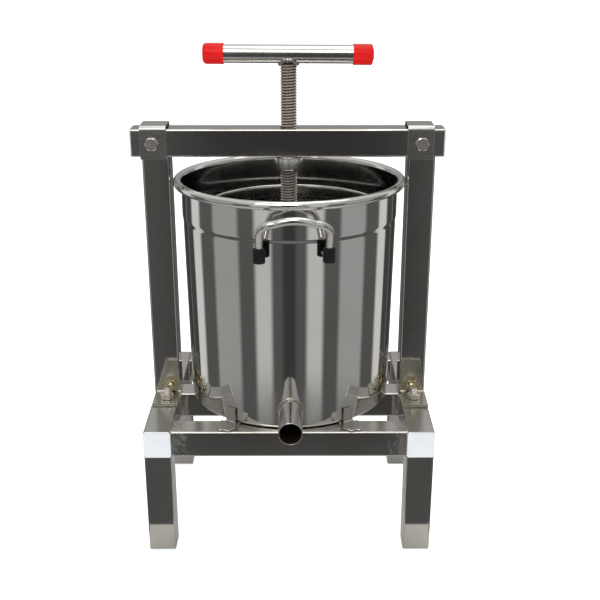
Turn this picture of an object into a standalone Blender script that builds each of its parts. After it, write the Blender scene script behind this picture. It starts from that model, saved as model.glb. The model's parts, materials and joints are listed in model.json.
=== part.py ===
"""Manual screw press for honey and wax, in stainless steel.

A square-tube stand carries two uprights and a cross beam. A screw with a T handle runs
through a nut under the beam and drives a press plate down into a basket, which stands in
a spouted pot. Lengths are in metres, +Z is up, -Y is the front, and Z = 0 is the floor.
X = 0 is the middle of the stand, and Y = 0 is half way along the whole press.
"""

import math

import bmesh
import bpy
from mathutils import Matrix, Vector

# ---------------------------------------------------------------------------
# Driving dimensions
# ---------------------------------------------------------------------------
GAP = 0.0003                     # left between pieces that touch
OVERLAP = 0.001                  # how far shapes that are united reach into each other
DRILL_MARGIN = 0.010             # how far a drill or cutter runs past what it cuts

# Square tube, the same for the stand, the uprights and the beam
TUBE = 0.030
TUBE_WALL = 0.0015
TUBE_CORNER = 0.0022
PLUG_FLANGE = 0.0021
PLUG_DEPTH = 0.010

# Stand
STAND_HALF_WIDTH = 0.159
STAND_DEPTH = 0.232
STAND_CENTRE_Y = 0.0055
STAND_TOP = 0.150

# Uprights and beam, on the screw's plane
SCREW_Y = 0.009
BEAM_BOTTOM = 0.4287
BEAM_LEFT = -0.1695
BEAM_RIGHT = 0.1673

# Saddle straps that hold the beam on the uprights
SADDLE_X = {"left": -0.1455, "right": 0.1420}
SADDLE_WIDTH = 0.0283
SADDLE_THICKNESS = 0.002
SADDLE_CORNER = 0.0025
SADDLE_BOTTOM = 0.4270
SADDLE_BOLT_X = {"left": -0.1468, "right": 0.1433}

# Angle brackets at the feet of the uprights: x at the flange's four corners, inner first
BRACKET_THICKNESS = 0.003
BRACKET_TOP = 0.193
BRACKET_INSET = 0.0001           # the foot is this much inside the flange all round
BRACKET_REACH = {"left": 0.0384, "right": 0.0420}
BRACKET_FLANGE = {
    "left": {"inner": -0.1278, "outer": -0.1567, "top_inner": -0.1298, "top_outer": -0.1407},
    "right": {"inner": 0.1305, "outer": 0.1590, "top_inner": 0.1305, "top_outer": 0.1528},
}
BRACKET_BOLT_X = {"left": -0.1388, "right": 0.1432}
BRACKET_BOLT_Z = 0.163
FOOT_BOLT_X = {"left": -0.1415, "right": 0.1440}
FOOT_BOLT_Y = -0.0292

# M8 fasteners
BOLT_RADIUS = 0.0039
BOLT_HOLE_RADIUS = 0.0043
HEX_RADIUS = 0.0075
HEAD_HEIGHT = 0.0053
NUT_HEIGHT = 0.0065
THREAD_PROUD = 0.006

# Screw, its nut, the T handle and the press plate
SCREW_RADIUS = 0.0091
SCREW_CLEARANCE = 0.0003
NUT_BOSS_RADIUS = 0.0158
NUT_BOSS_HEIGHT = 0.0145
BEAM_HOLE_RADIUS = 0.0098
BAR_Z = 0.535
BAR_RADIUS = 0.0095
BAR_WALL = 0.0015
BAR_HALF_LENGTH = 0.0885
BAR_TILT = math.radians(0.35)
CAP_RADIUS = 0.01075
CAP_LENGTH = 0.022
CAP_END = 0.0017
CAP_END_RADIUS = {"left": 0.0035, "right": 0.0020}
PLATE_Z = 0.225
PLATE_THICKNESS = 0.004
PLATE_RADIUS = 0.090
HUB_RADIUS = 0.016
HUB_HEIGHT = 0.020

# Pot
POT_CENTRE = (0.0005, 0.0115)
POT_BASE_RADIUS = 0.1154
POT_STEP_RADIUS = 0.1184
POT_UPPER_RADIUS = 0.1192
POT_WALL = 0.001
POT_BOTTOM = 0.1506
POT_CORNER = 0.004
POT_STEP_Z = 0.3625
POT_STEP_HEIGHT = 0.006
RIM_TOP = 0.4056
RIM_ROLL_RADIUS = 0.0046
RIM_OUTER_RADIUS = 0.1281
RIM_DROP_INSIDE = 0.0085         # from the rim's top to where its roll leaves the wall
RIM_DROP_OUTSIDE = 0.0100

# Basket
BASKET_CENTRE = (0.0045, 0.0115)
BASKET_RADIUS = 0.0976
BASKET_WALL = 0.001
BASKET_FOOT_Z = 0.1520
BASKET_FLOOR_Z = 0.1580
BASKET_TOP = 0.3732
BASKET_RIM_RADIUS = 0.0011
BASKET_RIM_OFFSET = 0.0007       # the rim's wire is this far outside the wall
BASKET_RIM_DROP = 0.0029

# Spout
SPOUT_X = 0.002
SPOUT_Z = 0.1735
SPOUT_RADIUS = 0.0127
SPOUT_BORE_RADIUS = 0.0115
SPOUT_FRONT_Y = -0.162

# Wire handles on the pot
HANDLE_TURN = math.radians(2.5)
HANDLE_WIRE_RADIUS = 0.004
HANDLE_HALF_SPAN = 0.0355
HANDLE_WELD_Z = 0.3475
HANDLE_BEND = 0.006
HANDLE_LEG_REACH = 0.1252
HANDLE_LEAN = math.radians(33.5)
HANDLE_LEAN_LENGTH = 0.0352
HANDLE_CORNER = 0.014
HANDLE_ARCH = 0.0052
SLEEVE_RADIUS = 0.0063
SLEEVE_BOTTOM = 0.3431
SLEEVE_TOP = 0.3583
SLEEVE_STEPS = 20

# Clips that locate the pot on the stand
CLIP_THICKNESS = 0.002
CLIP_PLATE_WIDTH = 0.012
CLIP_PLATE_HEIGHT = 0.018
CLIP_TAB_RADIUS = 0.011
CLIP_TAB_LENGTH = 0.0235
CLIP_TAB_INSET = 0.0005
CLIP_TAB_SKEW = math.radians(16.4)
CLIP_FRONT_AZIMUTH = math.radians(33.4)
CLIP_REAR_AZIMUTH = math.radians(42.0)

# Facets around round pieces
POT_STEPS = 64
BASKET_STEPS = 48
ROUND_STEPS = 32
BOLT_STEPS = 16

# Worked out from the above
SIDES = {"left": -1, "right": 1}
SIDE_TUBE_X = STAND_HALF_WIDTH - TUBE / 2
STAND_FRONT_Y = STAND_CENTRE_Y - STAND_DEPTH / 2
STAND_REAR_Y = STAND_CENTRE_Y + STAND_DEPTH / 2
UPRIGHT_FRONT_Y = SCREW_Y - TUBE / 2
UPRIGHT_REAR_Y = SCREW_Y + TUBE / 2
BEAM_TOP = BEAM_BOTTOM + TUBE
BEAM_CENTRE_Z = BEAM_BOTTOM + TUBE / 2
SCREW_BORE_RADIUS = SCREW_RADIUS + SCREW_CLEARANCE
POT_TAPER_BOTTOM = POT_BOTTOM + POT_CORNER
POT_TAPER_TOP = POT_STEP_Z - POT_STEP_HEIGHT / 2


# ---------------------------------------------------------------------------
# Scene, collections and materials
# ---------------------------------------------------------------------------
def clear_scene():
    for old in list(bpy.data.objects):
        bpy.data.objects.remove(old, do_unlink=True)


def new_collection(name):
    collection = bpy.data.collections.new(name)
    bpy.context.scene.collection.children.link(collection)
    return collection


def new_material(name, color, roughness, metallic):
    material = bpy.data.materials.new(name)
    material.use_nodes = True
    shader = material.node_tree.nodes["Principled BSDF"]
    shader.inputs["Base Color"].default_value = (*color, 1.0)
    shader.inputs["Roughness"].default_value = roughness
    shader.inputs["Metallic"].default_value = metallic
    return material


clear_scene()
PRESS = new_collection("honey_press")
CUTTERS = new_collection("cutters")

TUBE_STEEL = new_material("tube_steel", (0.56, 0.55, 0.53), 0.28, 1.0)
POLISHED_STEEL = new_material("polished_steel", (0.68, 0.68, 0.67), 0.10, 1.0)
THREAD_STEEL = new_material("thread_steel", (0.48, 0.45, 0.42), 0.38, 1.0)
RED_VINYL = new_material("red_vinyl", (0.75, 0.02, 0.02), 0.40, 0.0)
BLACK_SILICONE = new_material("black_silicone", (0.012, 0.012, 0.013), 0.55, 0.0)
WHITE_PLASTIC = new_material("white_plastic", (0.82, 0.82, 0.80), 0.45, 0.0)


# ---------------------------------------------------------------------------
# Building blocks
# ---------------------------------------------------------------------------
def place(name, mesh, material, location=(0, 0, 0), rotation=(0, 0, 0)):
    """Add a named piece of the press to the scene."""
    piece = bpy.data.objects.new(name, mesh)
    piece.location = location
    piece.rotation_euler = rotation
    mesh.materials.clear()
    mesh.materials.append(material)
    PRESS.objects.link(piece)
    return piece


def place_cutter(name, mesh, location=(0, 0, 0), rotation=(0, 0, 0)):
    cutter = bpy.data.objects.new(name, mesh)
    cutter.location = location
    cutter.rotation_euler = rotation
    cutter.hide_render = True
    cutter.display_type = "WIRE"
    CUTTERS.objects.link(cutter)
    return cutter


def add_boolean(piece, other, operation="DIFFERENCE"):
    modifier = piece.modifiers.new(other.name, "BOOLEAN")
    modifier.operation = operation
    modifier.solver = "EXACT"
    modifier.object = other


def evaluated_mesh(source):
    """Return the source's shape as a welded mesh, and remove the source."""
    bpy.context.view_layer.update()
    graph = bpy.context.evaluated_depsgraph_get()
    mesh = bpy.data.meshes.new_from_object(source.evaluated_get(graph))
    mesh.transform(source.matrix_world)
    welded = bmesh.new()
    welded.from_mesh(mesh)
    bmesh.ops.remove_doubles(welded, verts=welded.verts, dist=1e-6)
    bmesh.ops.recalc_face_normals(welded, faces=welded.faces)
    welded.to_mesh(mesh)
    welded.free()
    bpy.data.objects.remove(source, do_unlink=True)
    return mesh


def smooth(mesh, angle=35.0):
    mesh.shade_smooth()
    mesh.set_sharp_from_angle(angle=math.radians(angle))
    return mesh


def box_mesh(name, size):
    shape = bmesh.new()
    bmesh.ops.create_cube(shape, size=1.0)
    bmesh.ops.scale(shape, vec=size, verts=shape.verts)
    mesh = bpy.data.meshes.new(name)
    shape.to_mesh(mesh)
    shape.free()
    return mesh


def rod_mesh(name, radius, length, steps=ROUND_STEPS, start=0.0):
    """A solid cylinder along +Z that begins at height start."""
    shape = bmesh.new()
    bmesh.ops.create_cone(shape, cap_ends=True, segments=steps, radius1=radius, radius2=radius,
                          depth=length, matrix=Matrix.Translation((0, 0, start + length / 2)))
    mesh = bpy.data.meshes.new(name)
    shape.to_mesh(mesh)
    shape.free()
    return mesh


def turned_mesh(name, profile, steps=ROUND_STEPS):
    """Turn a profile of (radius, z) points about Z. Its outer side runs downwards."""
    mesh = bpy.data.meshes.new(name)
    closed = profile[0][0] > 0
    edges = [(i, i + 1) for i in range(len(profile) - 1)]
    if closed:
        edges.append((len(profile) - 1, 0))
    mesh.from_pydata([(radius, 0, z) for radius, z in profile], edges, [])
    source = bpy.data.objects.new(name, mesh)
    bpy.context.scene.collection.objects.link(source)
    screw = source.modifiers.new("turn", "SCREW")
    screw.steps = steps
    screw.render_steps = steps
    screw.use_merge_vertices = True
    screw.merge_threshold = 0.00001
    screw.use_normal_calculate = True
    return smooth(evaluated_mesh(source))


def ring_mesh(name, outer, inner, length, start=0.0, steps=ROUND_STEPS):
    profile = [(outer, start + length), (outer, start), (inner, start), (inner, start + length)]
    return turned_mesh(name, profile, steps)


def outline_mesh(name, outlines, thickness):
    """A flat plate in XY from closed outlines, the later ones being holes, centred on Z = 0."""
    curve = bpy.data.curves.new(name, "CURVE")
    curve.dimensions = "2D"
    curve.fill_mode = "BOTH"
    curve.extrude = thickness / 2
    for points in outlines:
        spline = curve.splines.new("POLY")
        spline.points.add(len(points) - 1)
        for point, (x, y) in zip(spline.points, points):
            point.co = (x, y, 0, 1)
        spline.use_cyclic_u = True
    source = bpy.data.objects.new(name, curve)
    bpy.context.scene.collection.objects.link(source)
    return evaluated_mesh(source)


def wire_mesh(name, points, radius, resolution=2):
    """A round wire along a list of points, with closed ends."""
    curve = bpy.data.curves.new(name, "CURVE")
    curve.dimensions = "3D"
    curve.bevel_depth = radius
    curve.bevel_resolution = resolution
    curve.use_fill_caps = True
    spline = curve.splines.new("POLY")
    spline.points.add(len(points) - 1)
    for point, position in zip(spline.points, points):
        point.co = (*position, 1)
    source = bpy.data.objects.new(name, curve)
    bpy.context.scene.collection.objects.link(source)
    return smooth(evaluated_mesh(source), 50.0)


def arc(centre, radius, start, end, steps):
    """Points along an arc in a plane, its angles in degrees."""
    points = []
    for i in range(steps + 1):
        angle = math.radians(start + (end - start) * i / steps)
        points.append((centre[0] + radius * math.cos(angle), centre[1] + radius * math.sin(angle)))
    return points


def rounded_square(half, radius, steps=3):
    points = []
    for corner, (sx, sy) in enumerate(((1, 1), (-1, 1), (-1, -1), (1, -1))):
        centre = (sx * (half - radius), sy * (half - radius))
        points += arc(centre, radius, corner * 90, corner * 90 + 90, steps)
    return points


# Rotations that turn a piece made along +Z to lie along another axis
ALONG_X = (0, math.radians(90), 0)
ALONG_Y = (math.radians(-90), 0, 0)


def square_tube(name, length, centre, rotation=(0, 0, 0)):
    outer = rounded_square(TUBE / 2, TUBE_CORNER)
    inner = rounded_square(TUBE / 2 - TUBE_WALL, TUBE_CORNER - TUBE_WALL, 1)
    mesh = outline_mesh(name, [outer, inner], length)
    return place(name, mesh, TUBE_STEEL, centre, rotation)


def tube_plug(name, position, rotation):
    """A plastic plug for a tube's end: its flange is outside, along local +Z."""
    flange = outline_mesh(name, [rounded_square(TUBE / 2, TUBE_CORNER)], PLUG_FLANGE)
    flange.transform(Matrix.Translation((0, 0, GAP + PLUG_FLANGE / 2)))
    bore = rounded_square(TUBE / 2 - TUBE_WALL - GAP, TUBE_CORNER - TUBE_WALL, 1)
    stem = outline_mesh(name + "_stem", [bore], PLUG_DEPTH + PLUG_FLANGE)
    stem_height = GAP + PLUG_FLANGE / 2 - (PLUG_DEPTH + PLUG_FLANGE) / 2
    stem.transform(Matrix.Translation((0, 0, stem_height)))
    plug = bpy.data.objects.new(name, flange)
    stem_piece = bpy.data.objects.new(name + "_stem", stem)
    for part in (plug, stem_piece):
        bpy.context.scene.collection.objects.link(part)
    add_boolean(plug, stem_piece, "UNION")
    mesh = evaluated_mesh(plug)
    bpy.data.objects.remove(stem_piece, do_unlink=True)
    return place(name, mesh, WHITE_PLASTIC, position, rotation)


def joined_mesh(name, first, second):
    """The Boolean union of two meshes."""
    base = bpy.data.objects.new(name, first)
    extra = bpy.data.objects.new(name + "_extra", second)
    for part in (base, extra):
        bpy.context.scene.collection.objects.link(part)
    add_boolean(base, extra, "UNION")
    mesh = evaluated_mesh(base)
    bpy.data.objects.remove(extra, do_unlink=True)
    return mesh


def hex_bolt_mesh(name, length):
    """A hexagon bolt: the underside of its head at Z = 0, its shank along -Z."""
    head = rod_mesh(name + "_head", HEX_RADIUS, HEAD_HEIGHT, 6)
    shank = rod_mesh(name + "_shank", BOLT_RADIUS, length + OVERLAP, BOLT_STEPS, -length)
    return joined_mesh(name, head, shank)


def hex_nut_mesh(name):
    """A hexagon nut standing on Z = 0."""
    outer = arc((0, 0), HEX_RADIUS, 0, 300, 5)
    hole = arc((0, 0), BOLT_HOLE_RADIUS, 0, 337.5, BOLT_STEPS - 1)
    mesh = outline_mesh(name, [outer, hole], NUT_HEIGHT)
    mesh.transform(Matrix.Translation((0, 0, NUT_HEIGHT / 2)))
    return mesh


def drill(pieces, name, start, end, radius=BOLT_HOLE_RADIUS, steps=BOLT_STEPS):
    """Cut a round hole from start to end through the pieces."""
    direction = Vector(end) - Vector(start)
    turn = direction.to_track_quat("Z", "Y").to_euler()
    cutter = place_cutter(name, rod_mesh(name, radius, direction.length, steps), start, turn)
    for piece in pieces:
        add_boolean(piece, cutter)


# ---------------------------------------------------------------------------
# Stand
# ---------------------------------------------------------------------------
def build_stand():
    side_tubes = {}
    rail_z = STAND_TOP - TUBE / 2
    for side, sign in SIDES.items():
        x = sign * SIDE_TUBE_X
        side_tubes[side] = square_tube("side_tube_" + side, STAND_DEPTH,
                                       (x, STAND_CENTRE_Y, rail_z), ALONG_Y)
        tube_plug("tube_plug_front_" + side, (x, STAND_FRONT_Y, rail_z), (math.radians(90), 0, 0))
        tube_plug("tube_plug_rear_" + side, (x, STAND_REAR_Y, rail_z), ALONG_Y)

    rail_length = 2 * (STAND_HALF_WIDTH - TUBE - GAP)
    rails = {
        "front_rail": STAND_FRONT_Y + TUBE / 2,
        "middle_rail": STAND_CENTRE_Y,
        "rear_rail": STAND_REAR_Y - TUBE / 2,
    }
    for name, y in rails.items():
        square_tube(name, rail_length, (0, y, rail_z), ALONG_X)

    leg_top = STAND_TOP - TUBE - GAP
    leg_bottom = PLUG_FLANGE + GAP
    leg_length = leg_top - leg_bottom
    rows = {"front": rails["front_rail"], "rear": rails["rear_rail"]}
    for row, y in rows.items():
        for side, sign in SIDES.items():
            x = sign * SIDE_TUBE_X
            square_tube(f"leg_{row}_{side}", leg_length, (x, y, leg_bottom + leg_length / 2))
            tube_plug(f"leg_plug_{row}_{side}", (x, y, leg_bottom), (math.radians(180), 0, 0))
    return side_tubes


# ---------------------------------------------------------------------------
# Uprights and the angle brackets at their feet
# ---------------------------------------------------------------------------
def bracket_mesh(side):
    """An angle bracket in world coordinates: a tapered flange joined to a flat foot."""
    corners = BRACKET_FLANGE[side]
    base = STAND_TOP + GAP
    flange_outline = [
        (corners["outer"], base),
        (corners["inner"], base),
        (corners["top_inner"], BRACKET_TOP),
        (corners["top_outer"], BRACKET_TOP),
    ]
    flange = outline_mesh("flange_" + side, [flange_outline], BRACKET_THICKNESS)
    flange.transform(Matrix.Rotation(math.radians(90), 4, "X"))
    flange_y = UPRIGHT_FRONT_Y - GAP - BRACKET_THICKNESS / 2
    flange.transform(Matrix.Translation((0, flange_y, 0)))

    width = abs(corners["outer"] - corners["inner"]) - 2 * BRACKET_INSET
    foot = box_mesh("foot_" + side, (width, BRACKET_REACH[side], BRACKET_THICKNESS))
    foot_x = (corners["outer"] + corners["inner"]) / 2
    foot_y = UPRIGHT_FRONT_Y - GAP - BRACKET_INSET - BRACKET_REACH[side] / 2
    foot.transform(Matrix.Translation((foot_x, foot_y, base + BRACKET_THICKNESS / 2)))
    return joined_mesh("foot_bracket_" + side, foot, flange)


def build_uprights(side_tubes):
    bottom = STAND_TOP + GAP
    length = BEAM_BOTTOM - GAP - bottom
    foot_bolt_length = TUBE + BRACKET_THICKNESS + 3 * GAP + NUT_HEIGHT + THREAD_PROUD
    foot_bolt = hex_bolt_mesh("foot_bolt", foot_bolt_length)
    bracket_bolt = hex_bolt_mesh("bracket_bolt", foot_bolt_length)
    nut = hex_nut_mesh("nut")
    for side, sign in SIDES.items():
        upright = square_tube("upright_" + side, length, (sign * SIDE_TUBE_X, SCREW_Y, bottom + length / 2))
        bracket = place("foot_bracket_" + side, bracket_mesh(side), TUBE_STEEL)

        x = BRACKET_BOLT_X[side]
        drill([upright, bracket], "bracket_hole_" + side,
              (x, UPRIGHT_FRONT_Y - DRILL_MARGIN, BRACKET_BOLT_Z),
              (x, UPRIGHT_REAR_Y + DRILL_MARGIN, BRACKET_BOLT_Z))
        place("bracket_bolt_" + side, bracket_bolt.copy(), POLISHED_STEEL,
              (x, UPRIGHT_REAR_Y + GAP, BRACKET_BOLT_Z), ALONG_Y)
        nut_y = UPRIGHT_FRONT_Y - BRACKET_THICKNESS - 2 * GAP
        place("bracket_nut_" + side, nut.copy(), POLISHED_STEEL,
              (x, nut_y, BRACKET_BOLT_Z), (math.radians(90), 0, 0))

        x = FOOT_BOLT_X[side]
        under = STAND_TOP - TUBE
        drill([side_tubes[side], bracket], "foot_hole_" + side,
              (x, FOOT_BOLT_Y, under - DRILL_MARGIN), (x, FOOT_BOLT_Y, STAND_TOP + DRILL_MARGIN))
        place("foot_bolt_" + side, foot_bolt.copy(), POLISHED_STEEL,
              (x, FOOT_BOLT_Y, under - GAP), (math.radians(180), 0, 0))
        nut_z = STAND_TOP + BRACKET_THICKNESS + 2 * GAP
        place("foot_nut_" + side, nut.copy(), POLISHED_STEEL, (x, FOOT_BOLT_Y, nut_z))


# ---------------------------------------------------------------------------
# Beam, its saddle straps and the screw's nut
# ---------------------------------------------------------------------------
def saddle_outline():
    """The strap's section across the beam: an upside-down U with rounded shoulders."""
    inner = TUBE / 2 + GAP
    outer = inner + SADDLE_THICKNESS
    top = BEAM_TOP + GAP + SADDLE_THICKNESS
    shoulder = outer - SADDLE_CORNER
    left = arc((-shoulder, top - SADDLE_CORNER), SADDLE_CORNER, 180, 90, 4)
    right = arc((shoulder, top - SADDLE_CORNER), SADDLE_CORNER, 90, 0, 4)
    inside_top = top - SADDLE_THICKNESS
    return [
        (-outer, SADDLE_BOTTOM), *left, *right, (outer, SADDLE_BOTTOM),
        (inner, SADDLE_BOTTOM), (inner, inside_top), (-inner, inside_top), (-inner, SADDLE_BOTTOM),
    ]


def build_beam():
    length = BEAM_RIGHT - BEAM_LEFT
    middle = (BEAM_RIGHT + BEAM_LEFT) / 2
    beam = square_tube("beam", length, (middle, SCREW_Y, BEAM_CENTRE_Z), ALONG_X)
    tube_plug("beam_plug_left", (BEAM_LEFT, SCREW_Y, BEAM_CENTRE_Z), (0, math.radians(-90), 0))
    tube_plug("beam_plug_right", (BEAM_RIGHT, SCREW_Y, BEAM_CENTRE_Z), ALONG_X)

    grip = TUBE + 2 * SADDLE_THICKNESS + 4 * GAP
    bolt = hex_bolt_mesh("saddle_bolt", grip + NUT_HEIGHT + THREAD_PROUD / 2)
    nut = hex_nut_mesh("nut")
    outside = TUBE / 2 + SADDLE_THICKNESS + 2 * GAP
    for side in SIDES:
        mesh = outline_mesh("saddle_" + side, [saddle_outline()], SADDLE_WIDTH)
        mesh.transform(Matrix.Rotation(math.radians(90), 4, "X"))
        mesh.transform(Matrix.Rotation(math.radians(90), 4, "Z"))
        saddle = place("saddle_" + side, smooth(mesh), TUBE_STEEL, (SADDLE_X[side], SCREW_Y, 0))
        x = SADDLE_BOLT_X[side]
        drill([beam, saddle], "saddle_hole_" + side,
              (x, SCREW_Y - TUBE, BEAM_CENTRE_Z), (x, SCREW_Y + TUBE, BEAM_CENTRE_Z))
        place("saddle_bolt_" + side, bolt.copy(), POLISHED_STEEL,
              (x, SCREW_Y - outside, BEAM_CENTRE_Z), (math.radians(90), 0, 0))
        place("saddle_nut_" + side, nut.copy(), POLISHED_STEEL,
              (x, SCREW_Y + outside, BEAM_CENTRE_Z), ALONG_Y)

    drill([beam], "screw_hole", (0, SCREW_Y, BEAM_BOTTOM - DRILL_MARGIN),
          (0, SCREW_Y, BEAM_TOP + DRILL_MARGIN), BEAM_HOLE_RADIUS, ROUND_STEPS)
    boss = ring_mesh("screw_nut", NUT_BOSS_RADIUS, SCREW_BORE_RADIUS, NUT_BOSS_HEIGHT, -NUT_BOSS_HEIGHT)
    place("screw_nut", boss, POLISHED_STEEL, (0, SCREW_Y, BEAM_BOTTOM - GAP))


# ---------------------------------------------------------------------------
# Screw, T handle and press plate
# ---------------------------------------------------------------------------
def cap_mesh(name, end_radius):
    """A push-on grip cap: its mouth at Z = 0, its closed end up, with a rounded edge."""
    bore = BAR_RADIUS + GAP
    edge = arc((CAP_RADIUS - end_radius, CAP_LENGTH - end_radius), end_radius, 90, 0, 4)
    floor = CAP_LENGTH - CAP_END
    profile = [(0, CAP_LENGTH), *edge, (CAP_RADIUS, 0), (bore, 0), (bore, floor), (0, floor)]
    return turned_mesh(name, profile)


def build_screw():
    screw_axis = bpy.data.objects.new("screw_axis", None)
    screw_axis.location = (0, SCREW_Y, 0)
    PRESS.objects.link(screw_axis)

    hub_bottom = PLATE_Z + PLATE_THICKNESS + GAP
    plate = turned_mesh("press_plate", [(0, PLATE_THICKNESS), (PLATE_RADIUS, PLATE_THICKNESS),
                                        (PLATE_RADIUS, 0), (0, 0)], POT_STEPS)
    hub = ring_mesh("plate_hub", HUB_RADIUS, SCREW_BORE_RADIUS, HUB_HEIGHT)
    screw_mesh = rod_mesh("screw", SCREW_RADIUS, BAR_Z - hub_bottom)
    bar_mesh = ring_mesh("handle_bar", BAR_RADIUS, BAR_RADIUS - BAR_WALL,
                         2 * BAR_HALF_LENGTH, -BAR_HALF_LENGTH)
    bar_tilt = (0, math.radians(90) + BAR_TILT, 0)
    pieces = [
        place("press_plate", plate, POLISHED_STEEL, (0, 0, PLATE_Z)),
        place("plate_hub", hub, POLISHED_STEEL, (0, 0, hub_bottom)),
        place("screw", smooth(screw_mesh), THREAD_STEEL, (0, 0, hub_bottom)),
        place("handle_bar", bar_mesh, POLISHED_STEEL, (0, 0, BAR_Z), bar_tilt),
    ]
    cap_start = BAR_HALF_LENGTH + CAP_END + GAP - CAP_LENGTH
    for side, sign in SIDES.items():
        name = "handle_cap_" + side
        along = (0, math.radians(90) * sign + BAR_TILT, 0)
        position = (sign * cap_start * math.cos(BAR_TILT), 0, BAR_Z - sign * cap_start * math.sin(BAR_TILT))
        pieces.append(place(name, cap_mesh(name, CAP_END_RADIUS[side]), RED_VINYL, position, along))

    cope = place_cutter("screw_cope", rod_mesh("screw_cope", BAR_RADIUS + GAP, 2 * TUBE, ROUND_STEPS, -TUBE),
                        (0, 0, BAR_Z), bar_tilt)
    add_boolean(pieces[2], cope)
    for piece in [*pieces, cope]:
        piece.parent = screw_axis


# ---------------------------------------------------------------------------
# Pot, spout and basket
# ---------------------------------------------------------------------------
def pot_radius(z):
    """The radius of the pot's slightly tapered outer wall below the step."""
    share = (z - POT_TAPER_BOTTOM) / (POT_TAPER_TOP - POT_TAPER_BOTTOM)
    return POT_BASE_RADIUS + share * (POT_STEP_RADIUS - POT_BASE_RADIUS)


def pot_profile():
    """Half the pot's section, from the middle of its floor over the rolled rim and back under."""
    floor = POT_BOTTOM + POT_WALL
    step_top = POT_STEP_Z + POT_STEP_HEIGHT / 2
    corner = (POT_BASE_RADIUS - POT_CORNER, POT_TAPER_BOTTOM)
    roll = (RIM_OUTER_RADIUS - RIM_ROLL_RADIUS, RIM_TOP - RIM_ROLL_RADIUS)
    inside_corner = arc(corner, POT_CORNER - POT_WALL, -90, 0, 4)
    outside_corner = arc(corner, POT_CORNER, 0, -90, 4)
    rim = arc(roll, RIM_ROLL_RADIUS, 150, -110, 9)
    return [
        (0, floor),
        *inside_corner,
        (POT_STEP_RADIUS - POT_WALL, POT_TAPER_TOP),
        (POT_UPPER_RADIUS - POT_WALL, step_top),
        (POT_UPPER_RADIUS - POT_WALL, RIM_TOP - RIM_DROP_INSIDE),
        *rim,
        (POT_UPPER_RADIUS, RIM_TOP - RIM_DROP_OUTSIDE),
        (POT_UPPER_RADIUS, step_top),
        (POT_STEP_RADIUS, POT_TAPER_TOP),
        *outside_corner,
        (0, POT_BOTTOM),
    ]


def basket_profile():
    """Half the basket's section: a wired rim, a straight wall and a floor above a short skirt."""
    inner = BASKET_RADIUS - BASKET_WALL
    wire = (BASKET_RADIUS + BASKET_RIM_OFFSET, BASKET_TOP - BASKET_RIM_RADIUS)
    return [
        (0, BASKET_FLOOR_Z + BASKET_WALL),
        (inner, BASKET_FLOOR_Z + BASKET_WALL),
        (inner, BASKET_TOP - 2 * BASKET_RIM_RADIUS),
        *arc(wire, BASKET_RIM_RADIUS, 160, -110, 6),
        (BASKET_RADIUS, BASKET_TOP - BASKET_RIM_DROP),
        (BASKET_RADIUS, BASKET_FOOT_Z),
        (inner, BASKET_FOOT_Z),
        (inner, BASKET_FLOOR_Z),
        (0, BASKET_FLOOR_Z),
    ]


def build_pot():
    pot = place("pot", turned_mesh("pot", pot_profile(), POT_STEPS), POLISHED_STEEL, (*POT_CENTRE, 0))
    wall_radius = pot_radius(SPOUT_Z)
    wall_y = POT_CENTRE[1] - wall_radius
    drill([pot], "spout_hole", (SPOUT_X, wall_y - TUBE, SPOUT_Z), (SPOUT_X, wall_y + TUBE, SPOUT_Z),
          SPOUT_BORE_RADIUS, ROUND_STEPS)

    length = wall_y + DRILL_MARGIN - SPOUT_FRONT_Y
    pipe = ring_mesh("spout", SPOUT_RADIUS, SPOUT_BORE_RADIUS, length)
    spout = place("spout", pipe, POLISHED_STEEL, (SPOUT_X, SPOUT_FRONT_Y, SPOUT_Z), ALONG_Y)
    wall = rod_mesh("pot_wall", wall_radius + 2 * GAP, 2 * TUBE, 2 * POT_STEPS, SPOUT_Z - TUBE)
    add_boolean(spout, place_cutter("pot_wall", wall, (*POT_CENTRE, 0)))

    mesh = turned_mesh("basket", basket_profile(), BASKET_STEPS)
    place("basket", mesh, POLISHED_STEEL, (*BASKET_CENTRE, 0))


# ---------------------------------------------------------------------------
# Pot handles with their sleeves
# ---------------------------------------------------------------------------
def half_handle_path():
    """Half the wire, from its weld on the wall to the middle of the bar, in the pot's frame.

    Local -Y points out of the pot. Above its sleeve the wire leans outwards.
    """
    span = HANDLE_HALF_SPAN
    points = [(span, -pot_radius(HANDLE_WELD_Z) + 3 * HANDLE_WIRE_RADIUS, HANDLE_WELD_Z)]
    bend_centre = (-HANDLE_LEG_REACH + HANDLE_BEND, HANDLE_WELD_Z + HANDLE_BEND)
    for y, z in arc(bend_centre, HANDLE_BEND, -90, -180, 4):
        points.append((span, y, z))
    sine = math.sin(HANDLE_LEAN)
    cosine = math.cos(HANDLE_LEAN)
    straight = HANDLE_LEAN_LENGTH - HANDLE_CORNER
    leaning = [(span, 0.0), *arc((span - HANDLE_CORNER, straight), HANDLE_CORNER, 0, 80, 6)]
    for fraction in (0.66, 0.33, 0.0):
        rise = HANDLE_ARCH * (1 - fraction ** 2)
        leaning.append((fraction * (span - HANDLE_CORNER), HANDLE_LEAN_LENGTH + rise))
    for x, along in leaning:
        points.append((x, -HANDLE_LEG_REACH - along * sine, SLEEVE_TOP + GAP + along * cosine))
    return points


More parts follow.
